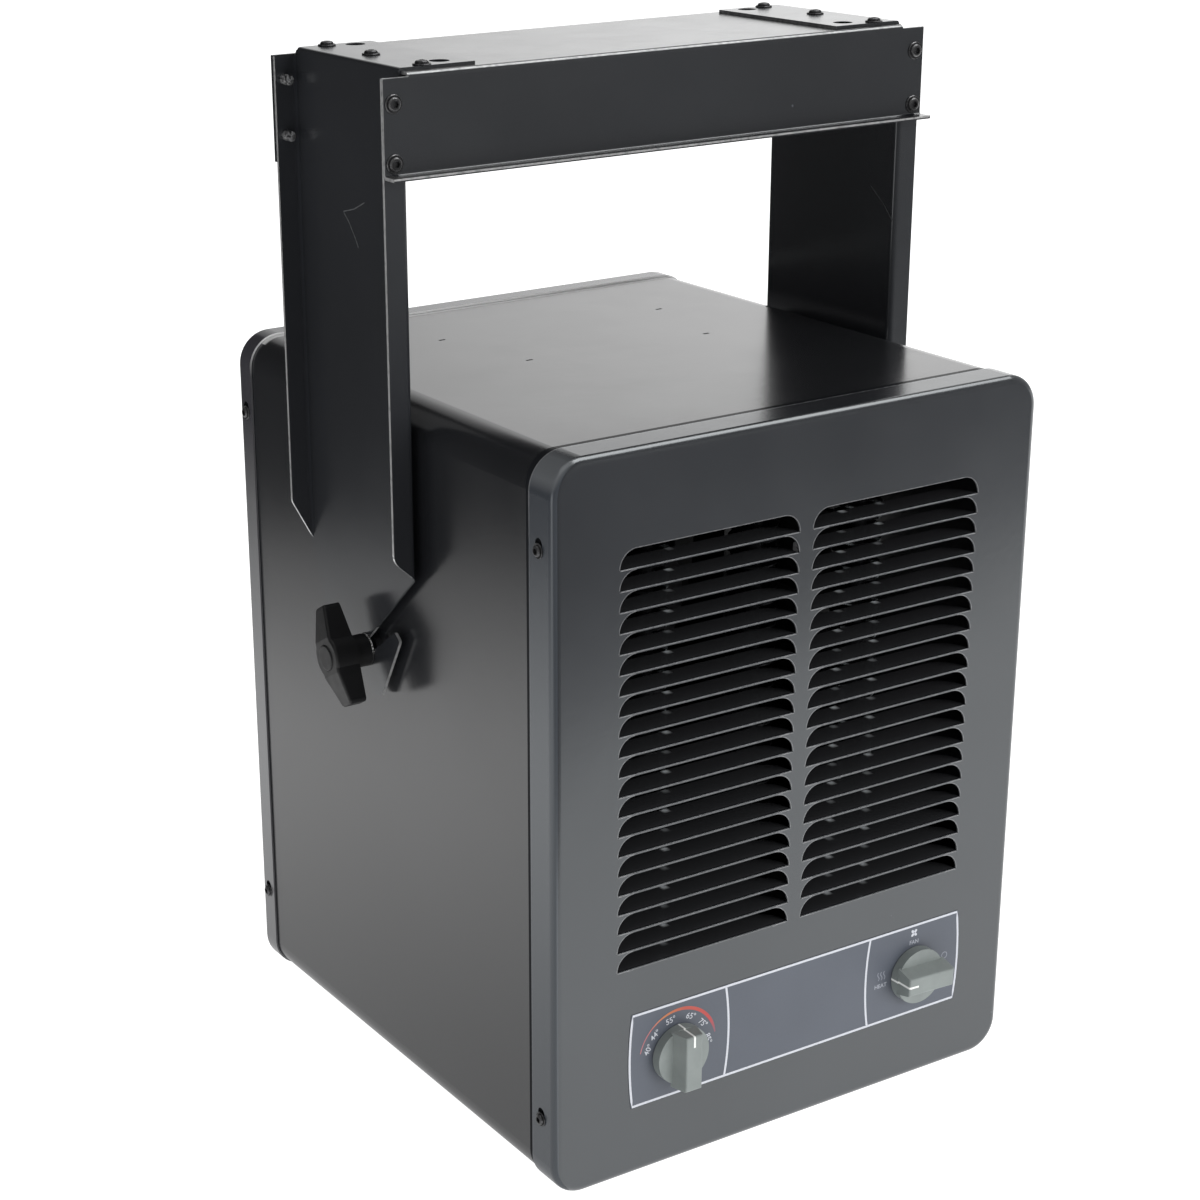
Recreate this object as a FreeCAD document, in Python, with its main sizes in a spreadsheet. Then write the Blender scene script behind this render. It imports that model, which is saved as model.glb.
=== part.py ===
import FreeCAD, Part
import math
import os

import Sketcher
from FreeCAD import Placement, Rotation, Vector

# Electric unit heater: louvred steel cabinet with a fan, finned elements and
# controls inside, hung in a two-arm bracket that tilts on two clamp knobs.
# Frame: +Z up, +X to the right seen from the front, the front faces -Y.
# The origin is the bottom centre of the whole unit; it stands on its covers.

doc = FreeCAD.newDocument("unit_heater")
sheet = doc.addObject("Spreadsheet::Sheet", "Params")

PARAMS = [
    # cabinet
    ("cab_w", 280.0), ("cab_h", 366.0), ("cab_d", 300.0), ("front_y", -143.0),
    ("sheet_t", 1.0), ("corner_r", 17.0), ("bend_r", 4.0),
    ("front_lip", 19.5), ("rear_lip", 14.6), ("lap_gap", 0.1), ("wrap_inset", 4.5),
    # louvres of the front cover
    ("lv_in", 4.0), ("lv_out", 104.7), ("lv_low", 112.4), ("lv_pitch", 9.95),
    ("lv_rows", 21), ("lv_high", 9.0), ("lv_bend", 0.5), ("lv_deep", 15.0), ("lv_relief", 0.4),
    # cover screws
    ("fs_y", 11.6), ("rs_y", 8.4), ("fs_low", 40.0), ("fs_top", 324.0), ("rs_low", 47.0), ("rs_top", 324.6),
    ("cs_shank", 1.9), ("cs_head", 3.6), ("cs_headh", 1.9), ("cs_slot", 2.7),
    # label and controls
    ("lab_l", -96.4), ("lab_r", 107.8), ("lab_b", 37.2), ("lab_t", 87.8), ("lab_bow", 1.7), ("lab_thk", 0.25),
    ("th_x", -69.1), ("th_z", 60.4), ("sel_x", 79.4), ("sel_z", 60.3),
    ("dial_r", 14.9), ("dial_h", 5.0), ("grip_h", 13.4), ("grip_l", 14.2), ("grip_tail", 15.2), ("grip_w", 9.2),
    ("ctl_bush_r", 4.8), ("ctl_bore_r", 3.0), ("ctl_shaft_r", 2.95),
    # bracket
    ("arm_in", 142.5), ("arm_t", 1.5), ("arm_out", 154.8), ("arm_f", 113.0), ("arm_b", 216.0),
    ("arm_bend", 3.0), ("tab_in", 104.0), ("beam_x", 155.2), ("beam_top", 518.6), ("lip_z", 474.0),
    ("lip_w", 8.0), ("rear_z", 466.8), ("beam_bend", 2.6), ("ear_top", 516.8), ("plate_x", 142.0),
    ("bs_x", 150.0), ("bs_hi", 505.5), ("bs_lo", 479.2), ("ts_x", 130.0),
    ("mt_x", 116.5), ("mt_f", 127.5), ("mt_b", 204.5), ("mt_r", 4.75),
    # pivot and clamp
    ("piv_y", 162.3), ("piv_z", 232.7), ("stud_r", 3.0), ("nut_bore", 3.05),
    ("bush_r", 8.5), ("jaw_r", 3.1), ("stem_r", 8.2), ("wing_l", 25.4), ("wing_w", 8.8),
    ("hub_r", 11.4), ("wing_in", 154.0), ("wing_out", 166.6), ("knob_tilt", 30.0),
    # fan, motor and elements
    ("fan_z", 230.0), ("fan_r", 97.0), ("mouth_r", 101.0), ("shaft_r", 3.97), ("brg_bore", 4.0),
    ("motor_r", 42.0), ("stator_bore", 28.5), ("rotor_r", 28.0),
    ("el_x", 64.0), ("el_y", 40.0), ("el_tube", 5.0), ("el_fin", 12.0), ("el_pitch", 6.2), ("el_fins", 34),
    ("tray_z", 97.0),
]
row = 0
VAL = {}
for alias, value in PARAMS:
    row += 1
    sheet.set("A%d" % row, alias)
    sheet.set("B%d" % row, "%g" % value)
    sheet.setAlias("B%d" % row, alias)
    VAL[alias] = float(value)
doc.recompute()


class Dim:
    """A length with its value and the expression that drives it."""

    def __init__(self, v, e):
        self.v = float(v)
        self.e = e

    def __add__(self, o):
        o = dim(o)
        return Dim(self.v + o.v, "(%s + %s)" % (self.e, o.e))

    def __sub__(self, o):
        o = dim(o)
        return Dim(self.v - o.v, "(%s - %s)" % (self.e, o.e))

    def __mul__(self, o):
        o = dim(o)
        return Dim(self.v * o.v, "(%s * %s)" % (self.e, o.e))

    def __truediv__(self, o):
        o = dim(o)
        return Dim(self.v / o.v, "(%s / %s)" % (self.e, o.e))

    def __radd__(self, o):
        return dim(o) + self

    def __rsub__(self, o):
        return dim(o) - self

    def __rmul__(self, o):
        return dim(o) * self

    def __neg__(self):
        return Dim(-self.v, "(0 - %s)" % self.e)


def dim(x):
    if isinstance(x, Dim):
        return x
    x = float(x)
    return Dim(x, "%.6f" % x if x >= 0 else "(0 - %.6f)" % -x)


class Dims:
    def __getattr__(self, name):
        return Dim(VAL[name], "Params." + name)


d = Dims()
NODES = []


def node(obj, label):
    obj.Label = label
    NODES.append(obj)
    return obj


def bind(obj, prop, value):
    value = dim(value)
    obj.setExpression(prop, value.e)


def put(obj, x=0, y=0, z=0, rot=None):
    x, y, z = dim(x), dim(y), dim(z)
    obj.Placement = Placement(Vector(x.v, y.v, z.v), rot or Rotation())
    for axis, val in (("x", x), ("y", y), ("z", z)):
        obj.setExpression("Placement.Base." + axis, val.e)
    return obj


def fy(offset):
    """Depth measured from the front face plane towards the back."""
    return d.front_y + offset


# ---- sketch helpers -------------------------------------------------------

def new_body(name, x=0, y=0, z=0):
    body = doc.addObject("PartDesign::Body", name)
    put(body, x, y, z)
    return body


def origin_item(body, role):
    return [f for f in body.Origin.OriginFeatures if f.Role == role][0]


def sketch(body, name, role, offset=0):
    """Sketch on an origin plane; offset runs along +X, +Y or +Z."""
    sk = body.newObject("Sketcher::SketchObject", name)
    sk.AttachmentSupport = [(origin_item(body, role), "")]
    sk.MapMode = "FlatFace"
    off = dim(offset)
    if role == "XZ_Plane":
        off = -off
    sk.AttachmentOffset = Placement(Vector(0, 0, off.v), Rotation())
    sk.setExpression("AttachmentOffset.Base.z", off.e)
    return sk


def hold(sk, geo, pos, x, y):
    for kind, val in (("DistanceX", dim(x)), ("DistanceY", dim(y))):
        i = sk.addConstraint(Sketcher.Constraint(kind, -1, 1, geo, pos, val.v))
        sk.setExpression("Constraints[%d]" % i, val.e)


def circle(sk, x, y, r):
    x, y, r = dim(x), dim(y), dim(r)
    g = sk.addGeometry(Part.Circle(Vector(x.v, y.v, 0), Vector(0, 0, 1), r.v), False)
    i = sk.addConstraint(Sketcher.Constraint("Radius", g, r.v))
    sk.setExpression("Constraints[%d]" % i, r.e)
    hold(sk, g, 3, x, y)


def profile(sk, items):
    """Closed outline. Each item is (x, y) followed by a straight run, or
    (x, y, cx, cy, r, ccw) followed by an arc to the next point."""
    n = len(items)
    geos = []
    for k in range(n):
        a, b = items[k], items[(k + 1) % n]
        ax, ay, bx, by = dim(a[0]).v, dim(a[1]).v, dim(b[0]).v, dim(b[1]).v
        if len(a) == 2:
            g = sk.addGeometry(Part.LineSegment(Vector(ax, ay, 0), Vector(bx, by, 0)), False)
            geos.append((g, 1, 2))
        else:
            cx, cy, r = dim(a[2]).v, dim(a[3]).v, dim(a[4])
            a0 = math.atan2(ay - cy, ax - cx)
            a1 = math.atan2(by - cy, bx - cx)
            if not a[5]:
                a0, a1 = a1, a0
            if a1 <= a0:
                a1 += 2 * math.pi
            g = sk.addGeometry(Part.ArcOfCircle(
                Part.Circle(Vector(cx, cy, 0), Vector(0, 0, 1), r.v), a0, a1), False)
            geos.append((g, 1, 2) if a[5] else (g, 2, 1))
    for k in range(n):
        g, s, e = geos[k]
        g2, s2, e2 = geos[(k + 1) % n]
        sk.addConstraint(Sketcher.Constraint("Coincident", g, e, g2, s2))
    for k in range(n):
        g, s, e = geos[k]
        hold(sk, g, s, items[k][0], items[k][1])
        if len(items[k]) > 2:
            a, b = items[k], items[(k + 1) % n]
            r = dim(a[4])
            cx, cy = dim(a[2]), dim(a[3])
            run = (dim(b[0]).v - dim(a[0]).v, dim(b[1]).v - dim(a[1]).v)
            if math.hypot(*run) < 1.999 * r.v:
                c = Sketcher.Constraint("Radius", g, r.v)
                val = r
            elif abs(run[0]) > abs(run[1]):
                c = Sketcher.Constraint("DistanceY", -1, 1, g, 3, cy.v)
                val = cy
            else:
                c = Sketcher.Constraint("DistanceX", -1, 1, g, 3, cx.v)
                val = cx
            i = sk.addConstraint(c)
            sk.setExpression("Constraints[%d]" % i, val.e)


def rrect(sk, x0, y0, x1, y1, r):
    x0, y0, x1, y1, r = dim(x0), dim(y0), dim(x1), dim(y1), dim(r)
    profile(sk, [
        (x0 + r, y0), (x1 - r, y0, x1 - r, y0 + r, r, True),
        (x1, y0 + r), (x1, y1 - r, x1 - r, y1 - r, r, True),
        (x1 - r, y1), (x0 + r, y1, x0 + r, y1 - r, r, True),
        (x0, y1 - r), (x0, y0 + r, x0 + r, y0 + r, r, True)])


def rect(sk, x0, y0, x1, y1):
    profile(sk, [(x0, y0), (x1, y0), (x1, y1), (x0, y1)])


def slot(sk, x, y0, y1, r):
    """Upright slot with round ends, centred on x from y0 to y1."""
    x, y0, y1, r = dim(x), dim(y0), dim(y1), dim(r)
    profile(sk, [(x + r, y0), (x + r, y1, x, y1, r, True),
                 (x - r, y1), (x - r, y0, x, y0, r, True)])


def pad(body, sk, name, length, reverse=False):
    f = body.newObject("PartDesign::Pad", name)
    f.Profile = sk
    f.Reversed = reverse
    bind(f, "Length", length)
    return f


def pocket(body, sk, name, length, reverse=False):
    """Cuts against the sketch normal, or along it when reversed; a cut that
    removes nothing is an error."""
    doc.recompute()
    before = body.Shape.Volume
    f = body.newObject("PartDesign::Pocket", name)
    f.Profile = sk
    f.Reversed = reverse
    bind(f, "Length", length)
    doc.recompute()
    if not body.Shape.Volume < before - 1e-3:
        raise RuntimeError("cut %s removes nothing" % name)
    return f


def fillet(body, base, name, radius, test):
    doc.recompute()
    names = ["Edge%d" % (i + 1) for i, e in enumerate(base.Shape.Edges) if test(e.BoundBox)]
    if not names:
        raise RuntimeError("no edges for " + name)
    f = body.newObject("PartDesign::Fillet", name)
    f.Base = (base, names)
    bind(f, "Radius", radius)
    doc.recompute()
    return f


def shell(body, base, name, thickness, open_y):
    """Hollow the pan from its open face, leaving the sheet thickness."""
    doc.recompute()
    faces = ["Face%d" % (i + 1) for i, fc in enumerate(base.Shape.Faces)
             if abs(fc.BoundBox.YMin - open_y) < 1e-4 and abs(fc.BoundBox.YMax - open_y) < 1e-4]
    f = body.newObject("PartDesign::Thickness", name)
    f.Base = (base, faces)
    bind(f, "Value", thickness)
    f.Reversed = True
    doc.recompute()
    if not f.Shape.Volume < base.Shape.Volume / 2:
        raise RuntimeError("shell %s failed" % name)
    return f


# ---- solid helpers --------------------------------------------------------

def box(name, x0, y0, z0, x1, y1, z1):
    b = doc.addObject("Part::Box", name)
    x0, y0, z0, x1, y1, z1 = (dim(v) for v in (x0, y0, z0, x1, y1, z1))
    bind(b, "Length", x1 - x0)
    bind(b, "Width", y1 - y0)
    bind(b, "Height", z1 - z0)
    return put(b, x0, y0, z0)


TURN = {"z": Rotation(), "y": Rotation(Vector(1, 0, 0), -90), "x": Rotation(Vector(0, 1, 0), 90)}


def cyl(name, axis, x, y, z, r, length):
    """Cylinder from the given point along +X, +Y or +Z."""
    c = doc.addObject("Part::Cylinder", name)
    bind(c, "Radius", r)
    bind(c, "Height", length)
    return put(c, x, y, z, TURN[axis])


def cut(name, base, *tools):
    tool = tools[0] if len(tools) == 1 else fuse(name + "_tools", *tools)
    c = doc.addObject("Part::Cut", name)
    c.Base = base
    c.Tool = tool
    return c


def fuse(name, *shapes):
    f = doc.addObject("Part::MultiFuse", name)
    f.Shapes = list(shapes)
    f.Refine = True
    return f


def ring(name, axis, x, y, z, r_out, r_in, length):
    return cut(name, cyl(name + "_o", axis, x, y, z, r_out, length),
               cyl(name + "_i", axis, x, y, z, r_in, length))


def group(name, *objs):
    c = doc.addObject("Part::Compound", name)
    c.Links = list(objs)
    return c


def mirrored(name, source):
    m = doc.addObject("Part::Mirroring", name)
    m.Source = source
    m.Base = (0, 0, 0)
    m.Normal = (1, 0, 0)
    return m


def screw_shape(head_r, head_h, shank_r, shank_l, socket_r, socket_d):
    """Flanged button-head screw along +Z: seat at 0, head above, shank below."""
    k = head_h * 0.36
    pts = [Vector(0, 0, -shank_l), Vector(shank_r, 0, -shank_l), Vector(shank_r, 0, 0),
           Vector(head_r, 0, 0), Vector(head_r, 0, k * 0.6), Vector(head_r * 0.94, 0, k), Vector(head_r * 0.76, 0, k * 0.8)]
    mid = Vector(head_r * 0.69, 0, k + (head_h - k) * 0.62)
    top = Vector(head_r * 0.48, 0, head_h)
    edges = [Part.LineSegment(a, b).toShape() for a, b in zip(pts, pts[1:])]
    edges.append(Part.Arc(pts[-1], mid, top).toShape())
    edges.append(Part.LineSegment(top, Vector(0, 0, head_h)).toShape())
    edges.append(Part.LineSegment(Vector(0, 0, head_h), pts[0]).toShape())
    solid = Part.Face(Part.Wire(edges)).revolve(Vector(0, 0, 0), Vector(0, 0, 1), 360)
    hexa = [Vector(socket_r * math.cos(math.radians(60 * i)), socket_r * math.sin(math.radians(60 * i)),
                   head_h - socket_d) for i in range(6)]
    tool = Part.Face(Part.makePolygon(hexa + [hexa[0]])).extrude(Vector(0, 0, socket_d + 1))
    return solid.cut(tool)


def screw_group(label, size, spots):
    """One node of like screws; each spot is a place and the way the head points."""
    base = screw_shape(*size)
    shapes = []
    for place, way in spots:
        s = base.copy()
        s.Placement = Placement(Vector(*place), Rotation(Vector(0, 0, 1), Vector(*way)))
        shapes.append(s)
    f = doc.addObject("Part::Feature", label)
    f.Shape = Part.makeCompound(shapes)
    f.Placement = Placement()
    return node(f, label)


# ---- cabinet sheet metal --------------------------------------------------

half = d.cab_w / 2
back_y = d.front_y + d.cab_d
over = d.sheet_t + d.lap_gap


def near(a, b):
    return abs(a - b) < 1e-4


# wrapper: one sheet bent round into the four sides
wrapper = new_body("wrapper_body")
sk = sketch(wrapper, "wrap_section", "XZ_Plane", back_y - d.wrap_inset)
rrect(sk, -(half - over), over, half - over, d.cab_h - over, d.corner_r - over)
t2 = over + d.sheet_t
rrect(sk, -(half - t2), t2, half - t2, d.cab_h - t2, d.corner_r - t2)
pad(wrapper, sk, "wrap_pad", d.cab_d - d.wrap_inset * 2)
sk = sketch(wrapper, "wrap_side_holes", "YZ_Plane", half + 5)
circle(sk, fy(d.piv_y), d.piv_z, 4.5)
for yy, zz in ((fy(d.fs_y), d.fs_low), (fy(d.fs_y), d.fs_top), (back_y - d.rs_y, d.rs_low), (back_y - d.rs_y, d.rs_top)):
    circle(sk, yy, zz, d.cs_shank + 0.1)
pocket(wrapper, sk, "wrap_side_cut", d.cab_w + 10)
sk = sketch(wrapper, "wrap_top_slits", "XY_Plane", d.cab_h + 5)
for sx, sy in ((-45.4, 164.3), (73.4, 219.7), (60.0, 159.5), (-58.9, 226.0)):
    rect(sk, sx - 1.9, fy(sy - 0.8), sx + 1.9, fy(sy + 0.8))
pocket(wrapper, sk, "wrap_top_cut", 20)
node(wrapper, "wrapper")

# front cover: shallow pan with two columns of inward louvres
front = new_body("front_body")
lip_y = fy(d.front_lip)
sk = sketch(front, "front_outline", "XZ_Plane", lip_y)
rrect(sk, -half, 0, half, d.cab_h, d.corner_r)
f = pad(front, sk, "front_pad", d.front_lip)
face_y = VAL["front_y"]
f = fillet(front, f, "front_bend", d.bend_r, lambda b: near(b.YMin, face_y) and near(b.YMax, face_y))
shell(front, f, "front_hollow", d.sheet_t, lip_y.v)
sk = sketch(front, "front_slots", "YZ_Plane", half + 5)
for zz in (d.fs_low, d.fs_top):
    slot(sk, fy(d.fs_y), zz, zz + 3.2, d.cs_slot)
pocket(front, sk, "front_slot_cut", d.cab_w + 10)
sk = sketch(front, "front_bores", "XZ_Plane", fy(-2))
circle(sk, d.th_x, d.th_z, d.ctl_bush_r + 0.15)
circle(sk, d.sel_x, d.sel_z, d.ctl_bush_r + 0.15)
pocket(front, sk, "front_bore_cut", 4)
z0, h = d.lv_low, d.lv_high
sk = sketch(front, "louvre_openings", "XZ_Plane", fy(-2))
for xa, xb in ((-d.lv_out, -d.lv_in), (d.lv_in, d.lv_out)):
    profile(sk, [(xa, z0 - d.lv_bend), (xb, z0 - d.lv_bend), (xb, z0, xb - h, z0, h, True),
                 (xb - h, z0 + h), (xa + h, z0 + h, xa + h, z0, h, True), (xa, z0)])
open_cut = pocket(front, sk, "louvre_cut", 4)
bends = []
for tag, xa, xb in (("l", -d.lv_out, -d.lv_in), ("r", d.lv_in, d.lv_out)):
    sk = sketch(front, "louvre_bend_" + tag, "YZ_Plane", xa + d.lv_relief)
    b = d.lv_bend
    profile(sk, [(fy(0), z0 - b), (fy(d.sheet_t), z0 - b), (fy(d.sheet_t), z0 - d.sheet_t),
                 (fy(1.6), z0 - d.sheet_t), (fy(1.6), z0), (fy(b), z0, fy(b), z0 - b, b, True)])
    bends.append(pad(front, sk, "louvre_bend_pad_" + tag, xb - xa - d.lv_relief * 2))
sk = sketch(front, "louvre_tabs", "XY_Plane", z0 - d.sheet_t)
for xa, xb in ((-d.lv_out, -d.lv_in), (d.lv_in, d.lv_out)):
    xa, xb = xa + d.lv_relief, xb - d.lv_relief
    r = d.lv_deep - 1.6
    profile(sk, [(xa, fy(1.6)), (xb, fy(1.6), xb - r, fy(1.6), r, True),
                 (xb - r, fy(d.lv_deep)), (xa + r, fy(d.lv_deep), xa + r, fy(1.6), r, True)])
tabs = pad(front, sk, "louvre_tab_pad", d.sheet_t)
doc.recompute()
rows = front.newObject("PartDesign::LinearPattern", "louvre_rows")
rows.Originals = [open_cut] + bends + [tabs]
rows.Direction = (origin_item(front, "Z_Axis"), [""])
bind(rows, "Length", d.lv_pitch * (d.lv_rows - 1))
bind(rows, "Occurrences", d.lv_rows)
front.Tip = rows
node(front, "front_cover")

# rear cover: shallow pan, air inlet of ring slots about the fan axis
rear = new_body("rear_body", 0, 0, d.fan_z)
lip_y = back_y - d.rear_lip
low, high = -d.fan_z, d.cab_h - d.fan_z
sk = sketch(rear, "rear_outline", "XZ_Plane", lip_y)
rrect(sk, -half, low, half, high, d.corner_r)
f = pad(rear, sk, "rear_pad", d.rear_lip, True)
face_y = back_y.v
f = fillet(rear, f, "rear_bend", d.bend_r, lambda b: near(b.YMin, face_y) and near(b.YMax, face_y))
shell(rear, f, "rear_hollow", d.sheet_t, lip_y.v)
sk = sketch(rear, "rear_slots", "YZ_Plane", half + 5)
for zz in (d.rs_low, d.rs_top):
    slot(sk, back_y - d.rs_y, zz - d.fan_z, zz - d.fan_z + 3.2, d.cs_slot)
pocket(rear, sk, "rear_slot_cut", d.cab_w + 10)
sk = sketch(rear, "rear_inlet_hole", "XZ_Plane", back_y - 3)
circle(sk, 92.0, 44.0 - d.fan_z, 11.2)
pocket(rear, sk, "rear_inlet_cut", 6)
sk = sketch(rear, "rear_rings", "XZ_Plane", back_y - 3)
for k in range(6):
    ri, ro = 20.0 + 13.0 * k, 28.0 + 13.0 * k
    ai = math.asin(3.0 / ri)
    ao = math.asin(3.0 / ro)
    q = math.pi / 4
    pts = [(ri * math.cos(ai), ri * math.sin(ai)), (ro * math.cos(ao), ro * math.sin(ao)),
           (ro * math.cos(q - ao), ro * math.sin(q - ao)), (ri * math.cos(q - ai), ri * math.sin(q - ai))]
    profile(sk, [pts[0], pts[1] + (0, 0, ro, True), pts[2], pts[3] + (0, 0, ri, False)])
ring_cut = pocket(rear, sk, "rear_ring_cut", 6)
spokes = rear.newObject("PartDesign::PolarPattern", "rear_spokes")
spokes.Originals = [ring_cut]
spokes.Axis = (origin_item(rear, "Y_Axis"), [""])
spokes.Angle = 360
spokes.Occurrences = 8
rear.Tip = spokes
node(rear, "rear_cover")

# control label: thin plate on the front cover with bowed ends
label = new_body("label_body")
sk = sketch(label, "label_outline", "XZ_Plane", d.front_y)
lm = (d.lab_b + d.lab_t) / 2
lr = ((d.lab_t - d.lab_b) * (d.lab_t - d.lab_b) / 4 + d.lab_bow * d.lab_bow) / (2 * d.lab_bow)
profile(sk, [(d.lab_l, d.lab_b), (d.lab_r, d.lab_b, d.lab_r + d.lab_bow - lr, lm, lr, True),
             (d.lab_r, d.lab_t), (d.lab_l, d.lab_t, d.lab_l - d.lab_bow + lr, lm, lr, True)])
circle(sk, d.th_x, d.th_z, d.ctl_bush_r + 0.6)
circle(sk, d.sel_x, d.sel_z, d.ctl_bush_r + 0.6)
pad(label, sk, "label_pad", d.lab_thk)
node(label, "control_label")

# cover screws
side = VAL["cab_w"] / 2
cs = (VAL["cs_head"], VAL["cs_headh"], VAL["cs_shank"], 9.0, 1.5, 1.1)
for lab, yy, zs in (("front_cover_screws", fy(d.fs_y).v, ("fs_low", "fs_top")),
                    ("rear_cover_screws", (back_y - d.rs_y).v, ("rs_low", "rs_top"))):
    screw_group(lab, cs, [((s * side, yy, VAL[zz]), (s, 0, 0)) for s in (-1, 1) for zz in zs])

# ---- bracket --------------------------------------------------------------

# arm: channel with its flanges turned outwards, a top tab turned in over the
# beam, and an open jaw at the foot that hooks on the pivot
arm = new_body("arm_body")
xi, xo, xf = -d.arm_in, -(d.arm_in + d.arm_t), -d.arm_out
ya, yb = fy(d.arm_f), fy(d.arm_b)
at, br = d.arm_t, d.arm_bend
ri = br - at
foot = d.piv_z - 30
sk = sketch(arm, "arm_section", "XY_Plane", foot)
profile(sk, [
    (xi, ya + br), (xi, yb - br, xi - br, yb - br, br, True),
    (xi - br, yb), (xf, yb), (xf, yb - at),
    (xi - br, yb - at, xi - br, yb - br, ri, False), (xo, yb - br),
    (xo, ya + br, xi - br, ya + br, ri, False), (xi - br, ya + at),
    (xf, ya + at), (xf, ya), (xi - br, ya, xi - br, ya + br, br, True)])
pad(arm, sk, "arm_pad", d.ear_top - 0.4 - foot)
# web above the flanges up to the tab, and the tab with its bend
sk = sketch(arm, "arm_tab_section", "XZ_Plane", yb - br - 1)
tz = d.beam_top
profile(sk, [
    (xo, d.ear_top - 4), (xi, d.ear_top - 4), (xi, tz - 0.4, xi + 0.4, tz - 0.4, 0.4, False), (xi + 0.4, tz),
    (-d.tab_in, tz), (-d.tab_in, tz + at), (xi + 0.4, tz + at, xi + 0.4, tz - 0.4, at + 0.4, True),
    (xo, tz - 0.4)])
pad(arm, sk, "arm_tab_pad", yb - ya - br * 2 - 2)
# jaw and tongue outline, cut through the web
sx, sz = VAL["front_y"] + VAL["piv_y"], VAL["piv_z"]
jr = VAL["jaw_r"]


def tangent(px, pz, side_sign):
    dx, dz = px - sx, pz - sz
    dist = math.hypot(dx, dz)
    ang = math.atan2(dz, dx) + side_sign * math.acos(jr / dist)
    return sx + jr * math.cos(ang), sz + jr * math.sin(ang)


fyv = ya.v
F = (fyv, 283.0)
J = (-9.5, 250.2)
U = tangent(F[0], F[1], -1)
V = tangent(J[0], J[1], 1)
N = (-14.2, 246.6)
T = (5.0, 212.4)
H = (12.2, 210.6)
sk = sketch(arm, "arm_front_cut", "YZ_Plane", xi + 5)
profile(sk, [(fyv - 12, foot.v - 8), (T[0], foot.v - 8), T, N, J, V + (sx, sz, d.jaw_r, True), U, F, (fyv - 12, 283.0)])
pocket(arm, sk, "arm_front_trim", 30)
ybv = yb.v
sk = sketch(arm, "arm_rear_cut", "YZ_Plane", xi + 5)
profile(sk, [(T[0], foot.v - 8), (ybv + 12, foot.v - 8), (ybv + 12, 277.5), (ybv, 277.5), (ybv - 14.5, 243.0), H, T])
pocket(arm, sk, "arm_rear_trim", 30)
sk = sketch(arm, "arm_flange_front", "XZ_Plane", fyv - 5)
profile(sk, [(xo, 283.0), (xf - 6, 298.6), (xf - 6, foot.v - 8), (xo, foot.v - 8)])
pocket(arm, sk, "arm_flange_front_trim", 12)
sk = sketch(arm, "arm_flange_rear", "XZ_Plane", ybv - 8)
profile(sk, [(xo, 277.5), (xf - 6, 309.0), (xf - 6, foot.v - 8), (xo, foot.v - 8)])
f = pocket(arm, sk, "arm_flange_rear_trim", 14)
# rounded flange ends, and rounded tip and nose of the jaw
xfv = xf.v


def corner_at(y_lo, y_hi, z_lo, z_hi):
    def test(b):
        return (near(b.XMin, xfv) and near(b.XMax, xfv) and b.YMin > y_lo and b.YMax < y_hi
                and b.ZMin > z_lo and b.ZMax < z_hi and b.YMax - b.YMin > 1 and b.ZMax - b.ZMin < 0.01)
    return test


f = fillet(arm, f, "arm_flange_front_round", 9.0, corner_at(fyv - 1, fyv + 3, 285, 310))
f = fillet(arm, f, "arm_flange_rear_round", 5.0, corner_at(ybv - 3, ybv + 1, 285, 310))
for tag, pt, rad in (("tip", T, 2.0), ("heel", H, 2.0), ("nose", N, 2.2), ("jaw", J, 1.8)):
    f = fillet(arm, f, "arm_round_" + tag, rad,
               lambda b, q=pt: (b.XMax - b.XMin > 1 and abs(b.YMin - q[0]) < 0.02 and abs(b.ZMin - q[1]) < 0.02
                                and b.YMax - b.YMin < 0.02 and b.ZMax - b.ZMin < 0.02))
# beam screws through the flanges, top screws and mounting holes in the tab
sk = sketch(arm, "arm_flange_holes", "XZ_Plane", fyv - 5)
for zz in (d.bs_lo, d.bs_hi):
    circle(sk, -d.bs_x, zz, 2.5)
pocket(arm, sk, "arm_flange_drill", ybv - fyv + 10)
sk = sketch(arm, "arm_tab_holes", "XY_Plane", d.beam_top + 6)
for yy in (120.0, 165.7, 208.0):
    circle(sk, -d.ts_x, fy(yy), 2.5)
for yy in (d.mt_f, d.mt_b):
    circle(sk, -d.mt_x, fy(yy), d.mt_r)
pocket(arm, sk, "arm_tab_drill", 10)
node(arm, "bracket_arm_left")
node(mirrored("arm_mirror", arm), "bracket_arm_right")

# beam: downward channel; the front wall ends in a lip turned out, the rear wall runs straight down
beam = new_body("beam_body")
yp, yq = ya - at, yb + at
bz, lz, bb = d.beam_top, d.lip_z, d.beam_bend
bi = bb - at
lb = lz - at
sk = sketch(beam, "beam_section", "YZ_Plane", -d.beam_x)
profile(sk, [
    (yp, bz - bb), (yp, lz + 1, yp - 1, lz + 1, 1.0, False), (yp - 1, lz), (yp - d.lip_w, lz), (yp - d.lip_w, lb),
    (yp - 1, lb, yp - 1, lz + 1, at + 1, True), (ya, lz + 1),
    (ya, bz - bb, ya + bi, bz - bb, bi, False), (ya + bi, bz - at),
    (yb - bi, bz - at, yb - bi, bz - bb, bi, False), (yb, bz - bb),
    (yb, d.rear_z), (yq, d.rear_z),
    (yq, bz - bb, yq - bb, bz - bb, bb, True), (yq - bb, bz),
    (yp + bb, bz, yp + bb, bz - bb, bb, True)])
pad(beam, sk, "beam_pad", d.beam_x * 2)
sk = sketch(beam, "beam_end_cut", "XY_Plane", bz + 5)
for s in (-1, 1):
    xa, xb = (-d.beam_x - 5, -d.plate_x) if s < 0 else (d.plate_x, d.beam_x + 5)
    rect(sk, xa, yp - 5, xb, yq + 5)
pocket(beam, sk, "beam_end_trim", bz - d.ear_top + 5)
sk = sketch(beam, "beam_plate_holes", "XZ_Plane", yp - 5)
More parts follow.
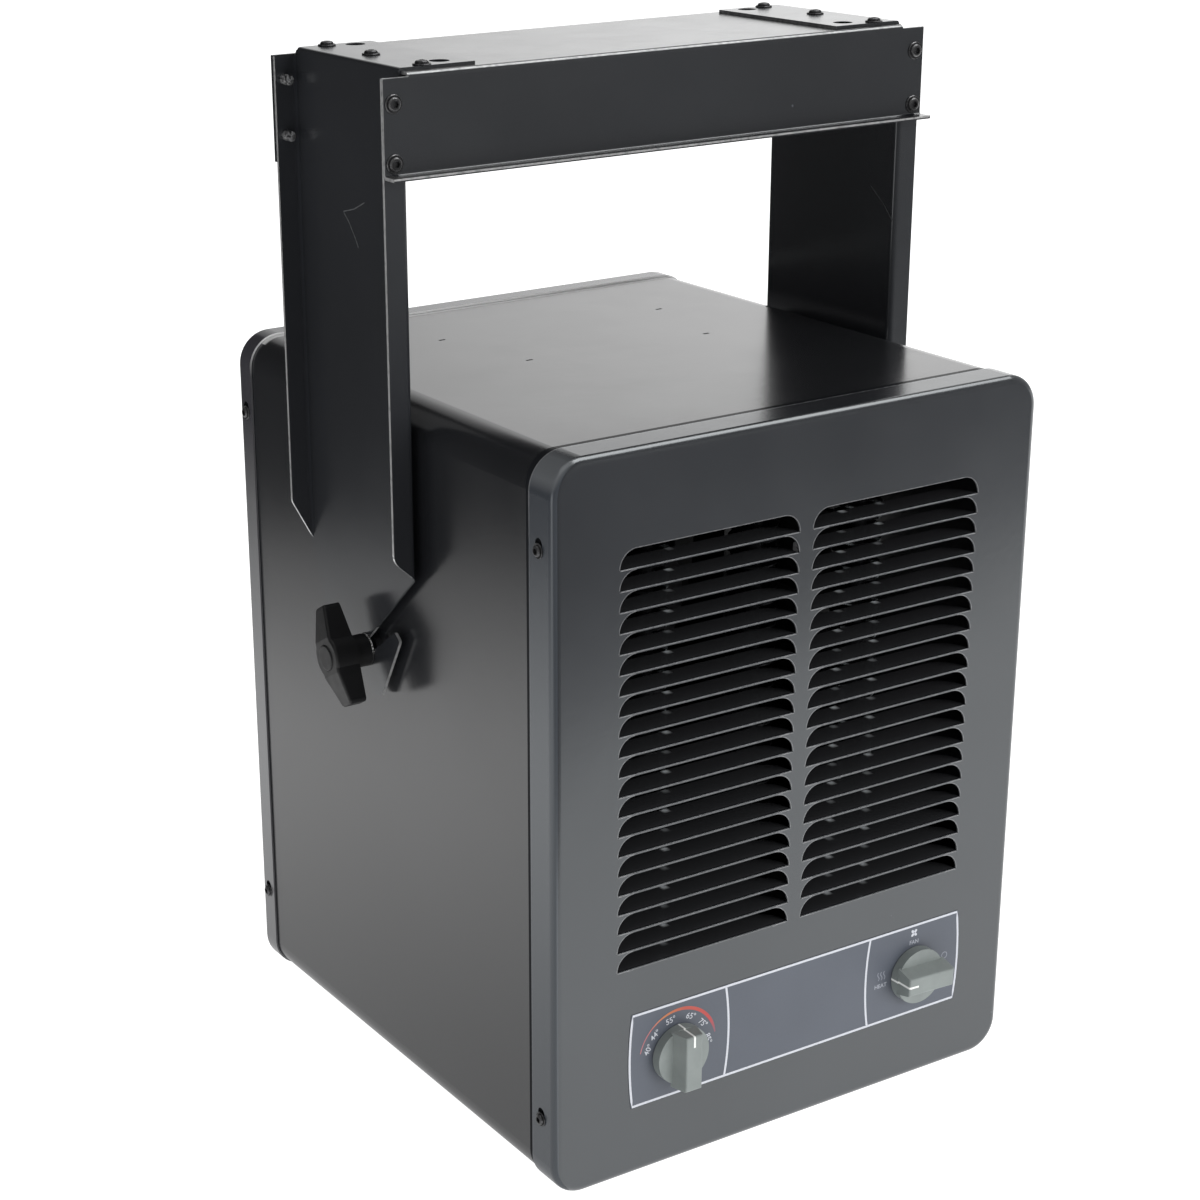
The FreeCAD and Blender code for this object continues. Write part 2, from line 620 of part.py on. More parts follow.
for s in (-1, 1):
    for zz in (d.bs_lo, d.bs_hi):
        circle(sk, s * d.bs_x, zz, 2.5)
pocket(beam, sk, "beam_plate_drill", yq - yp + 10)
sk = sketch(beam, "beam_top_holes", "XY_Plane", bz + 5)
for s in (-1, 1):
    for yy in (120.0, 165.7, 208.0):
        circle(sk, s * d.ts_x, fy(yy), 2.5)
    for yy in (d.mt_f, d.mt_b):
        circle(sk, s * d.mt_x, fy(yy), d.mt_r)
pocket(beam, sk, "beam_top_drill", 8)
node(beam, "bracket_beam")

bsz = (4.3, 2.1, 2.4, 8.0, 1.6, 1.3)
screw_group("bracket_front_screws", bsz, [((s * VAL["bs_x"], yp.v, VAL[z]), (0, -1, 0))
                                          for s in (-1, 1) for z in ("bs_lo", "bs_hi")])
screw_group("bracket_rear_screws", bsz, [((s * VAL["bs_x"], yq.v, VAL[z]), (0, 1, 0))
                                         for s in (-1, 1) for z in ("bs_lo", "bs_hi")])
screw_group("bracket_top_screws", bsz, [((s * VAL["ts_x"], VAL["front_y"] + yy, VAL["beam_top"] + VAL["arm_t"]), (0, 0, 1))
                                        for s in (-1, 1) for yy in (120.0, 165.7, 208.0)])

# ---- pivots and clamp knobs ----------------------------------------------

py, pz = fy(d.piv_y), d.piv_z
wall = half - over
# spacer bush between the cabinet side and the arm; the stud through it carries the arm's jaw
bush = cut("bush_l", cyl("bush_l_flange", "x", -(d.arm_in - 0.4), py, pz, d.bush_r, d.arm_in - 0.4 - wall),
           cyl("bush_l_bore", "x", -(d.arm_in + 5), py, pz, d.nut_bore, 20))
node(bush, "pivot_bush_left")
node(mirrored("bush_mirror", bush), "pivot_bush_right")
inner = wall - d.sheet_t
plate = cut("pplate_l", box("pplate_l_solid", -inner, py - 26, pz - 26, 2.0 - inner, py + 26, pz + 26),
            cyl("pplate_l_bore", "x", -inner - 1, py, pz, 4.5, 6))
node(plate, "pivot_plate_left")
node(mirrored("pplate_mirror", plate), "pivot_plate_right")
hexn = doc.addObject("Part::Prism", "pnut_l_hex")
hexn.Polygon = 6
hexn.Circumradius = 7.5
hexn.Height = 6.5
put(hexn, 2.0 - inner, py, pz, TURN["x"])
nut = cut("pnut_l", hexn, cyl("pnut_l_bore", "x", -inner - 1, py, pz, d.nut_bore, 16))
node(nut, "pivot_nut_left")
node(mirrored("pnut_mirror", nut), "pivot_nut_right")

# clamp knob: two-winged bar on a round stem; axis along X
knob = new_body("knob_body")
ww, wl, hr = d.wing_w, d.wing_l, d.hub_r
er = 5.2
sk = sketch(knob, "knob_plan", "YZ_Plane", -d.wing_out)
wv, lv, hv = VAL["wing_w"], VAL["wing_l"], VAL["hub_r"]
ha = math.asin(wv / hv)
hz = hv * math.cos(ha)
ew = 5.6
q = [(wv, hz), (ew, lv - 2.5), (ew - 2.5, lv), (2.5 - ew, lv), (-ew, lv - 2.5), (-wv, hz),
     (-wv, -hz), (-ew, 2.5 - lv), (2.5 - ew, -lv), (ew - 2.5, -lv), (ew, 2.5 - lv), (wv, -hz)]
profile(sk, [q[0], q[1] + (ew - 2.5, lv - 2.5, 2.5, True), q[2], q[3] + (2.5 - ew, lv - 2.5, 2.5, True), q[4],
             q[5] + (0, 0, hr, True), q[6], q[7] + (2.5 - ew, 2.5 - lv, 2.5, True), q[8],
             q[9] + (ew - 2.5, 2.5 - lv, 2.5, True), q[10], q[11] + (0, 0, hr, True)])
f = pad(knob, sk, "knob_pad", d.wing_out - d.wing_in)
# wings slope back towards their tips on the outer side
xw = -VAL["wing_out"]
for tag, s in (("up", 1), ("down", -1)):
    sk = sketch(knob, "knob_slope_" + tag, "XZ_Plane", -20)
    profile(sk, [(xw - 1, s * 9.0), (xw - 1, s * (lv + 2)), (xw + 4.2, s * (lv + 2)), (xw + 0.0, s * 9.0)])
    f = pocket(knob, sk, "knob_slope_cut_" + tag, 40)
f = fillet(knob, f, "knob_round", 1.4,
           lambda b: (near(b.XMin, xw) and near(b.XMax, xw)) or (b.XMax - b.XMin > 0.5 and b.XMax < xw + 4.3))
sk = sketch(knob, "knob_stem", "YZ_Plane", -d.wing_in)
circle(sk, 0, 0, d.stem_r)
pad(knob, sk, "knob_stem_pad", d.wing_in - (d.arm_in + d.arm_t + 1.0))
sk = sketch(knob, "knob_bore", "YZ_Plane", -(d.arm_in + d.arm_t + 1.0))
circle(sk, 0, 0, d.stud_r)
pocket(knob, sk, "knob_bore_cut", 15.5)
sk = sketch(knob, "knob_cap_seat", "YZ_Plane", -d.wing_out - 1)
circle(sk, 0, 0, 6.6)
pocket(knob, sk, "knob_cap_cut", 2.2, True)
put(knob, 0, py, pz, Rotation(Vector(1, 0, 0), -VAL["knob_tilt"]))
node(knob, "clamp_knob_left")
node(mirrored("knob_mirror", knob), "clamp_knob_right")
cap = cyl("cap_l", "x", -d.wing_out - 0.6, py, pz, 6.5, 1.7)
capf = doc.addObject("Part::Fillet", "cap_l_round")
capf.Base = cap
doc.recompute()
capf.Edges = [(i + 1, 0.8, 0.8) for i, e in enumerate(cap.Shape.Edges)
              if near(e.BoundBox.XMin, -VAL["wing_out"] - 0.6) and near(e.BoundBox.XMax, -VAL["wing_out"] - 0.6)]
node(capf, "knob_cap_left")
node(mirrored("cap_mirror", capf), "knob_cap_right")
stud = cyl("stud_l", "x", -160.0, py, pz, d.stud_r, 33.5)
node(stud, "clamp_stud_left")
node(mirrored("stud_mirror", stud), "clamp_stud_right")
wx = d.arm_in + d.arm_t
washer = ring("washer_l", "x", -(wx + 0.95), py, pz, 8.35, d.stud_r, 0.8)
node(washer, "clamp_washer_left")
node(mirrored("washer_mirror", washer), "clamp_washer_right")

# ---- controls -------------------------------------------------------------


def dial(name, label_text, cx, cz, turn):
    """Round skirt with a tapered grip bar across it, bored for its shaft."""
    y_seat = d.front_y - d.lab_thk - 0.35
    b = new_body(name)
    s1 = sketch(b, name + "_skirt", "XZ_Plane", 0)
    circle(s1, 0, 0, d.dial_r)
    f1 = pad(b, s1, name + "_skirt_pad", d.dial_h)
    f1.TaperAngle = -1.0
    gw = VAL["grip_w"]
    s2 = sketch(b, name + "_bar_section", "XY_Plane", -d.grip_tail)
    gh = VAL["grip_h"]
    dh = VAL["dial_h"]
    profile(s2, [(-7.1, -(dh - 1.0)), (-gw / 2, -gh), (gw / 2, -gh), (7.1, -(dh - 1.0))])
    f2 = pad(b, s2, name + "_bar_pad", d.grip_l + d.grip_tail)
    f2 = fillet(b, f2, name + "_bar_round", 0.9, lambda e: near(e.YMin, -gh) and near(e.YMax, -gh))
    s3 = sketch(b, name + "_bore", "XZ_Plane", 0.0)
    circle(s3, 0, 0, 3.0)
    pocket(b, s3, name + "_bore_cut", 9.0, True)
    put(b, cx, y_seat, cz, Rotation(Vector(0, 1, 0), turn))
    return node(b, label_text)


dial("th_dial", "thermostat_knob", d.th_x, d.th_z, 0.0)
dial("sel_dial", "selector_knob", d.sel_x, d.sel_z, -87.5)


def shaft_and_body(tag, cx, cz, w, hgt, deep):
    """Control body behind the cover with a threaded bush, nut and turning shaft."""
    case = box(tag + "_case", cx - w / 2, fy(6.0), cz - hgt / 2, cx + w / 2, fy(6.0 + deep), cz + hgt / 2)
    neck = cyl(tag + "_neck", "y", cx, fy(-0.5), cz, d.ctl_bush_r, 6.6)
    bore = cyl(tag + "_bore", "y", cx, fy(-2), cz, d.ctl_bore_r, 20)
    body = cut(tag + "_body", fuse(tag + "_solid", case, neck), bore)
    shaft = cyl(tag + "_shaft", "y", cx, fy(-9.0), cz, d.ctl_shaft_r, 25.0)
    nutr = ring(tag + "_nut", "y", cx, fy(d.sheet_t), cz, 8.0, d.ctl_bush_r, 3.0)
    return body, shaft, nutr


tb, ts, tn = shaft_and_body("th", d.th_x, d.th_z, 44.0, 34.0, 30.0)
node(tb, "thermostat_body")
node(ts, "thermostat_shaft")
sb, ss, sn = shaft_and_body("sel", d.sel_x, d.sel_z, 40.0, 40.0, 29.0)
node(sb, "selector_switch_body")
node(ss, "selector_shaft")
node(group("control_nut_group", tn, sn), "control_nuts")

# sensing bulb on its clips behind the thermostat, joined by a bent capillary
bulb = cyl("bulb", "x", -50.0, fy(272.0), 30.0, 4.0, 90.0)
node(bulb, "thermostat_bulb")


def bent_tube(points, radius, bend):
    """Tube along straight runs joined by tangent arcs."""
    pts = [Vector(*p) for p in points]
    edges = []
    start = pts[0]
    for i in range(1, len(pts) - 1):
        a = (pts[i - 1] - pts[i]).normalize()
        b = (pts[i + 1] - pts[i]).normalize()
        half_turn = (math.pi - a.getAngle(b)) / 2
        cutoff = bend * math.tan(half_turn)
        p1, p2 = pts[i] + a * cutoff, pts[i] + b * cutoff
        bis = (a + b).normalize()
        centre = pts[i] + bis * (bend / math.cos(half_turn))
        mid = centre - bis * bend
        edges.append(Part.LineSegment(start, p1).toShape())
        edges.append(Part.Arc(p1, mid, p2).toShape())
        start = p2
    edges.append(Part.LineSegment(start, pts[-1]).toShape())
    wire = Part.Wire(edges)
    first = (pts[1] - pts[0]).normalize()
    disc = Part.Wire([Part.Circle(pts[0], first, radius).toShape()])
    return wire.makePipeShell([disc], True, False)


def tube_node(label_text, runs):
    f0 = doc.addObject("Part::Feature", label_text)
    shapes = [bent_tube(*r) for r in runs]
    f0.Shape = shapes[0] if len(shapes) == 1 else Part.makeCompound(shapes)
    f0.Placement = Placement()
    return node(f0, label_text)


fyv0 = VAL["front_y"]
tube_node("thermostat_capillary", [([(-69.1, fyv0 + 36.0, 50.0), (-69.1, fyv0 + 90.0, 50.0), (-69.1, fyv0 + 90.0, 86.0),
                                     (-100.0, fyv0 + 90.0, 86.0), (-100.0, fyv0 + 272.0, 86.0), (-100.0, fyv0 + 272.0, 30.0),
                                     (-50.0, fyv0 + 272.0, 30.0)], 1.2, 8.0)])

# ---- air side: shroud, motor, fan ----------------------------------------

mx = inner - 3.0
tz0 = d.tray_z
# tray between the air path and the controls, with side flanges turned down
tray = cut("tray", box("tray_out", -mx, fy(22.0), tz0 - 14, mx, fy(262.0), tz0),
           box("tray_in", d.sheet_t - mx, fy(20.0), tz0 - 20, mx - d.sheet_t, fy(264.0), tz0 - d.sheet_t),
           cyl("tray_h0", "z", -d.el_x, fy(d.el_y), tz0 - 10, 5.0, 20), cyl("tray_h1", "z", 0, fy(d.el_y), tz0 - 10, 5.0, 20),
           cyl("tray_h2", "z", d.el_x, fy(d.el_y), tz0 - 10, 5.0, 20))
node(tray, "control_tray")
fz = d.fan_z
shroud = cut("shroud", fuse("shroud_solid", box("shroud_plate", -mx, fy(238.0), tz0 + 0.5, mx, fy(239.2), d.cab_h - 10),
                            box("shroud_crest", 12.0 - mx, fy(238.0), d.cab_h - 12, mx - 12.0, fy(239.2), d.cab_h - 4),
                            cyl("shroud_lip", "y", 0, fy(222.0), fz, d.mouth_r + 1.5, 17.2)),
             cyl("shroud_bore", "y", 0, fy(215.0), fz, d.mouth_r, 30.0))
node(shroud, "fan_shroud")
node(cut("mbracket", fuse("mbracket_solid", box("mb_web", -26.0, fy(150.0), tz0 + 0.5, 26.0, fy(152.0), d.cab_h - 4),
                          box("mb_top", -26.0, fy(128.0), d.cab_h - 6, 26.0, fy(150.0), d.cab_h - 4),
                          box("mb_foot", -26.0, fy(128.0), tz0 + 0.5, 26.0, fy(150.0), tz0 + 2.5)),
         cyl("mb_bore", "y", 0, fy(140.0), fz, 9.0, 30.0)), "motor_bracket")
node(ring("stator", "y", 0, fy(156.0), fz, d.motor_r, d.stator_bore, 46.0), "motor_stator")
node(ring("bell_f", "y", 0, fy(152.0), fz, d.motor_r, 8.0, 4.0), "motor_front_bell")
node(ring("bell_r", "y", 0, fy(202.0), fz, d.motor_r, 8.0, 4.0), "motor_rear_bell")
node(group("bearings", ring("brg_f", "y", 0, fy(149.0), fz, 8.0, d.brg_bore, 7.0),
           ring("brg_r", "y", 0, fy(202.0), fz, 8.0, d.brg_bore, 7.0)), "motor_bearings")
node(cyl("mshaft", "y", 0, fy(148.0), fz, d.shaft_r, 92.0), "motor_shaft")
node(ring("rotor", "y", 0, fy(159.0), fz, d.rotor_r, d.shaft_r, 40.0), "motor_rotor")
screw_group("motor_screws", (4.2, 2.4, 2.0, 5.0, 1.8, 1.3),
            [((sx0 * 18.0, fyv0 + 150.0, VAL["fan_z"] + sz0 * 24.0), (0, -1, 0)) for sx0 in (-1, 1) for sz0 in (-1, 1)])
# the screws pass through the bracket into the front bell
for nm in ("motor_bracket", "motor_front_bell"):
    old = [o for o in NODES if o.Label == nm][0]
    NODES.remove(old)
    old.Label = nm + "_blank"
    tools = [cyl(nm + "_d%d%d" % (i, j), "y", (i * 2 - 1) * 18.0, fy(145.0), fz + (j * 2 - 1) * 24.0, 2.0, 12.0)
             for i in (0, 1) for j in (0, 1)]
    node(cut(nm + "_drilled", old, *tools), nm)

node(ring("fhub", "y", 0, fy(216.0), fz, 13.0, d.shaft_r, 20.0), "fan_hub")
# five pitched blades on a round spider
spider = ring("spider", "y", 0, fy(226.0), fz, 34.0, 13.0, 2.0)
doc.recompute()
blade = Part.makeBox(62.0, 1.6, 78.0, Vector(-31.0, -0.8, 22.0))
blade.Placement = Placement(Vector(0, 0, 0), Rotation(Vector(0, 0, 1), 24.0))
limit = Part.makeCylinder(VAL["fan_r"], 60, Vector(0, -30, 0), Vector(0, 1, 0))
limit = limit.cut(Part.makeCylinder(20.0, 60, Vector(0, -30, 0), Vector(0, 1, 0)))
blade = blade.common(limit)
blades = []
for i in range(5):
    bcopy = blade.copy()
    bcopy.Placement = Placement(Vector(0, 0, 0), Rotation(Vector(0, 1, 0), 72.0 * i))
    blades.append(bcopy)
base_disc = spider.Shape.copy()
base_disc.Placement = Placement(Vector(0, -(fyv0 + 227.0), -VAL["fan_z"]), Rotation())
prop = base_disc.multiFuse(blades).removeSplitter()
fan = doc.addObject("Part::Feature", "fan_blades")
fan.Shape = prop
fan.Placement = Placement(Vector(0, fyv0 + 227.0, VAL["fan_z"]), Rotation())
node(fan, "fan_blades")

# ---- elements -------------------------------------------------------------

for tag, ex in (("left", -d.el_x), ("center", dim(0)), ("right", d.el_x)):
    eb = new_body("element_body_" + tag, ex, fy(d.el_y), 0)
    sk = sketch(eb, "element_tube_" + tag, "XY_Plane", tz0 + 5)
    circle(sk, 0, 0, d.el_tube)
    pad(eb, sk, "element_tube_pad_" + tag, d.cab_h - 10 - tz0 - 5)
    sk = sketch(eb, "element_fin_" + tag, "XY_Plane", tz0 + 21)
    circle(sk, 0, 0, d.el_fin)
    fin = pad(eb, sk, "element_fin_pad_" + tag, 0.8)
    doc.recompute()
    fins = eb.newObject("PartDesign::LinearPattern", "element_fins_" + tag)
    fins.Originals = [fin]
    fins.Direction = (origin_item(eb, "Z_Axis"), [""])
    bind(fins, "Length", d.el_pitch * (d.el_fins - 1))
    bind(fins, "Occurrences", d.el_fins)
    eb.Tip = fins
    node(eb, "heating_element_" + tag)


def rack(tag, za, zb, foot_z0, foot_z1):
    solid = fuse(tag + "_solid", box(tag + "_plate", -mx, fy(26.0), za, mx, fy(56.0), zb),
                 box(tag + "_el", -mx, fy(26.0), foot_z0, 1.0 - mx, fy(56.0), foot_z1),
                 box(tag + "_er", mx - 1.0, fy(26.0), foot_z0, mx, fy(56.0), foot_z1))
    return cut(tag, solid, *[cyl(tag + "_h%d" % i, "z", k * d.el_x, fy(d.el_y), za - 5, 8.0, 10 + 2)
                             for i, k in enumerate((-1.0, 0.0, 1.0))])


node(rack("rack_low", tz0 + 10, tz0 + 11.2, tz0 + 0.5, tz0 + 10), "element_rack_lower")
node(rack("rack_top", d.cab_h - 16, d.cab_h - 14.8, d.cab_h - 14.8, d.cab_h - 9.5), "element_rack_upper")
ins = []
for i, k in enumerate((-1.0, 0.0, 1.0)):
    ins.append(ring("ins_l%d" % i, "z", k * d.el_x, fy(d.el_y), tz0 + 8, 8.0, d.el_tube, 6.0))
    ins.append(ring("ins_u%d" % i, "z", k * d.el_x, fy(d.el_y), d.cab_h - 19, 8.0, d.el_tube, 6.0))
node(group("element_insulator_group", *ins), "element_insulators")
node(group("terminal_pin_group", *[fuse("pin%d" % i, cyl("pin_s%d" % i, "z", k * d.el_x, fy(d.el_y), tz0 - 16, 2.0, 21.0),
                                        cyl("pin_n%d" % i, "z", k * d.el_x, fy(d.el_y), tz0 - 12, 4.0, 3.0))
                                   for i, k in enumerate((-1.0, 0.0, 1.0))]), "element_terminals")

# ---- electrics ------------------------------------------------------------


def snap_disc(tag, cx, cy):
    return cut(tag, fuse(tag + "_solid", box(tag + "_flange", cx - 16.0, cy - 8.0, tz0, cx + 16.0, cy + 8.0, tz0 + 1.0),
                         cyl(tag + "_can", "z", cx, cy, tz0 + 0.5, 8.0, 9.5),
                         box(tag + "_t1", cx - 9.5, cy - 2.5, tz0 + 5.0, cx - 7.0, cy + 2.5, tz0 + 16.0),
                         box(tag + "_t2", cx + 7.0, cy - 2.5, tz0 + 5.0, cx + 9.5, cy + 2.5, tz0 + 16.0)),
               cyl(tag + "_h1", "z", cx - 12.5, cy, tz0 - 1, 1.7, 4), cyl(tag + "_h2", "z", cx + 12.5, cy, tz0 - 1, 1.7, 4))


node(snap_disc("limit", dim(32.0), fy(84.0)), "high_limit_switch")

fl = t2 + 0.2
relay = cut("relay", fuse("relay_solid", box("relay_case", -40.0, fy(110.0), fl + 3.0, 10.0, fy(170.0), fl + 58.0),
                          box("relay_foot", -50.0, fy(118.0), fl, 20.0, fy(162.0), fl + 3.0),
                          box("relay_t1", -36.0, fy(116.0), fl + 58.0, -24.0, fy(164.0), fl + 64.0),
                          box("relay_t2", -21.0, fy(116.0), fl + 58.0, -9.0, fy(164.0), fl + 64.0),
                          box("relay_t3", -6.0, fy(116.0), fl + 58.0, 6.0, fy(164.0), fl + 64.0)),
            cyl("relay_h1", "z", -45.0, fy(140.0), fl - 1, 2.2, 6), cyl("relay_h2", "z", 15.0, fy(140.0), fl - 1, 2.2, 6))
node(relay, "heater_relay")
blk = fuse("tblock_solid", box("tb_base", 40.0, fy(196.0), fl, 120.0, fy(228.0), fl + 10.0),
           *[box("tb_wall%d" % i, 40.0 + 19.5 * i, fy(196.0), fl + 9.0, 42.0 + 19.5 * i, fy(228.0), fl + 22.0) for i in range(5)])
node(blk, "terminal_block")
screw_group("terminal_screws", (4.0, 2.2, 1.8, 5.0, 1.6, 1.2),
            [((51.0 + 19.5 * i, fyv0 + yy, fl.v + 10.0), (0, 0, 1)) for i in range(4) for yy in (204.0, 220.0)])
# seats for the terminal screws in the block
old = [o for o in NODES if o.Label == "terminal_block"][0]
NODES.remove(old)
old.Label = "terminal_block_blank"
node(cut("terminal_block_drilled", old, *[cyl("tb_d%d%d" % (i, j), "z", 51.0 + 19.5 * i, fy(yy), fl + 5.0, 1.8, 8)
                                          for i in range(4) for j, yy in enumerate((204.0, 220.0))]), "terminal_block")
gs = fuse("ground_solid", cyl("ground_post", "z", 108.0, fy(160.0), fl, 2.5, 16.0),
          cyl("ground_nut", "z", 108.0, fy(160.0), fl + 4.0, 5.0, 4.0), cyl("ground_foot", "z", 108.0, fy(160.0), fl, 6.0, 2.0))
node(gs, "ground_stud")

# bushed cable entry in the rear cover
cb = new_body("cable_bush_body", 92.0, back_y, 44.0)
sk = sketch(cb, "cable_bush_section", "XY_Plane", 0)
doc.recompute()
profile(sk, [(8.0, -6.0), (13.6, -6.0), (13.6, -1.15), (11.0, -1.15), (11.0, 0.0), (10.8, 0.0), (8.0, 0.0)])
rev = cb.newObject("PartDesign::Revolution", "cable_bush_turn")
rev.Profile = sk
rev.ReferenceAxis = (origin_item(cb, "Y_Axis"), [""])
rev.Angle = 360
node(cb, "cable_bush")

# ---- checks and export ----------------------------------------------------

doc.recompute()
bad = [o.Name for o in doc.Objects if "Invalid" in o.State or "Error" in o.State]
if bad:
    raise RuntimeError("failed objects: " + ", ".join(bad))
os.makedirs("parts", exist_ok=True)
for name in os.listdir("parts"):
    if name.endswith(".step"):
        os.remove(os.path.join("parts", name))
labels = [o.Label for o in NODES]
if len(set(labels)) != len(labels) or len(labels) > 60:
    raise RuntimeError("labels clash or too many nodes: %d" % len(labels))
for o in NODES:
    if o.Shape.isNull() or not o.Shape.isValid() or not o.Shape.Solids:
        raise RuntimeError("bad shape: " + o.Label)
lo = [1e9] * 3
hi = [-1e9] * 3
for o in NODES:
    o.Shape.exportStep("parts/%s.step" % o.Label)
    b = o.Shape.optimalBoundingBox()
    lo = [min(a, c) for a, c in zip(lo, (b.XMin, b.YMin, b.ZMin))]
    hi = [max(a, c) for a, c in zip(hi, (b.XMax, b.YMax, b.ZMax))]
    print("%-26s solids %2d  volume %10.1f  x %.1f..%.1f y %.1f..%.1f z %.1f..%.1f" % (
        o.Label, len(o.Shape.Solids), o.Shape.Volume, b.XMin, b.XMax, b.YMin, b.YMax, b.ZMin, b.ZMax))
print("nodes", len(NODES), "low", [round(v, 2) for v in lo], "high", [round(v, 2) for v in hi])
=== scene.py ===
import math

import bmesh
import bpy
from mathutils import Matrix, Vector


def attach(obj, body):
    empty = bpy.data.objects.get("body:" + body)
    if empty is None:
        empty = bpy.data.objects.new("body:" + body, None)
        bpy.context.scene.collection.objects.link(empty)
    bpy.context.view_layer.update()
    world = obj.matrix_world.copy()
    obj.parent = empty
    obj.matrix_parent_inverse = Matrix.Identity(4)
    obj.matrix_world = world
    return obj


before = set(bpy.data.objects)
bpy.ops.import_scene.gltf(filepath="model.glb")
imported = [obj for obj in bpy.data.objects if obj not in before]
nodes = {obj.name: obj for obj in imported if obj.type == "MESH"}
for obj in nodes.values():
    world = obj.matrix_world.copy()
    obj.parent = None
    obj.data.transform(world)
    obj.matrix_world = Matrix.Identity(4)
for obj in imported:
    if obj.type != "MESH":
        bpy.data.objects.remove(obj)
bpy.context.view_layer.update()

scene = bpy.context.scene
MM = 0.001

# ---------------------------------------------------------------- node tools


class Mat:
    """A procedural material with one Principled shader."""

    def __init__(self, name):
        self.m = bpy.data.materials.new(name)
        self.m.use_nodes = True
        self.t = self.m.node_tree
        self.n = self.t.nodes
        self.b = self.n["Principled BSDF"]
        tc = self.n.new("ShaderNodeTexCoord")
        self.obj = tc.outputs["Object"]
        self.nrm = tc.outputs["Normal"]
        self._sep = None
        self._sepn = None

    def link(self, a, b):
        self.t.links.new(a, b)

    def put(self, **kw):
        for k, v in kw.items():
            s = self.b.inputs[k.replace("_", " ")]
            if isinstance(v, bpy.types.NodeSocket):
                self.link(v, s)
            else:
                s.default_value = v
        return self

    def math(self, op, a, b=None, c=None, clamp=False):
        n = self.n.new("ShaderNodeMath")
        n.operation = op
        n.use_clamp = clamp
        for i, v in enumerate((a, b, c)):
            if v is None:
                continue
            if isinstance(v, bpy.types.NodeSocket):
                self.link(v, n.inputs[i])
            else:
                n.inputs[i].default_value = v
        return n.outputs[0]

    def xyz(self):
        if self._sep is None:
            n = self.n.new("ShaderNodeSeparateXYZ")
            self.link(self.obj, n.inputs[0])
            self._sep = n
        return self._sep.outputs

    def nxyz(self):
        if self._sepn is None:
            n = self.n.new("ShaderNodeSeparateXYZ")
            self.link(self.nrm, n.inputs[0])
            self._sepn = n
        return self._sepn.outputs

    def noise(self, scale, detail=2.0, rough=0.5, stretch=None, out="Fac"):
        n = self.n.new("ShaderNodeTexNoise")
        n.inputs["Scale"].default_value = scale
        n.inputs["Detail"].default_value = detail
        n.inputs["Roughness"].default_value = rough
        src = self.obj
        if stretch:
            mp = self.n.new("ShaderNodeMapping")
            mp.inputs["Scale"].default_value = stretch
            self.link(src, mp.inputs["Vector"])
            src = mp.outputs[0]
        self.link(src, n.inputs["Vector"])
        return n.outputs[out]

    def voronoi(self, scale, out="Distance"):
        n = self.n.new("ShaderNodeTexVoronoi")
        n.inputs["Scale"].default_value = scale
        self.link(self.obj, n.inputs["Vector"])
        return n.outputs[out]

    def remap(self, v, a, b, lo, hi):
        n = self.n.new("ShaderNodeMapRange")
        self.link(v, n.inputs[0])
        for i, x in enumerate((a, b, lo, hi)):
            n.inputs[1 + i].default_value = x
        return n.outputs[0]

    def ramp(self, fac, stops):
        n = self.n.new("ShaderNodeValToRGB")
        e = n.color_ramp.elements
        while len(e) < len(stops):
            e.new(0.5)
        for el, (p, c) in zip(e, stops):
            el.position = p
            el.color = (*c, 1.0)
        self.link(fac, n.inputs[0])
        return n.outputs[0]

    def mix(self, fac, a, b):
        n = self.n.new("ShaderNodeMix")
        n.data_type = "RGBA"
        self.link(fac, n.inputs[0])
        for i, v in ((6, a), (7, b)):
            if isinstance(v, bpy.types.NodeSocket):
                self.link(v, n.inputs[i])
            else:
                n.inputs[i].default_value = (*v, 1.0)
        return n.outputs[2]

    def fmix(self, fac, a, b):
        n = self.n.new("ShaderNodeMix")
        n.data_type = "FLOAT"
        self.link(fac, n.inputs[0])
        for i, v in ((2, a), (3, b)):
            if isinstance(v, bpy.types.NodeSocket):
                self.link(v, n.inputs[i])
            else:
                n.inputs[i].default_value = v
        return n.outputs[0]

    def bump(self, height, strength, distance, after=None):
        n = self.n.new("ShaderNodeBump")
        n.inputs["Strength"].default_value = strength
        n.inputs["Distance"].default_value = distance
        self.link(height, n.inputs["Height"])
        if after is not None:
            self.link(after, n.inputs["Normal"])
        return n.outputs[0]

    def band(self, v, lo, hi):
        """1 where lo < v < hi."""
        return self.math("MULTIPLY", self.math("GREATER_THAN", v, lo), self.math("LESS_THAN", v, hi))

    def all(self, *vs):
        out = vs[0]
        for v in vs[1:]:
            out = self.math("MULTIPLY", out, v)
        return out

    def any(self, *vs):
        out = vs[0]
        for v in vs[1:]:
            out = self.math("MAXIMUM", out, v)
        return out


def scaled(c, k):
    return tuple(x * k for x in c)


# ----------------------------------------------------------------- materials

PAINT = (0.0108, 0.0115, 0.0132)
EDGE = (0.42, 0.42, 0.43)


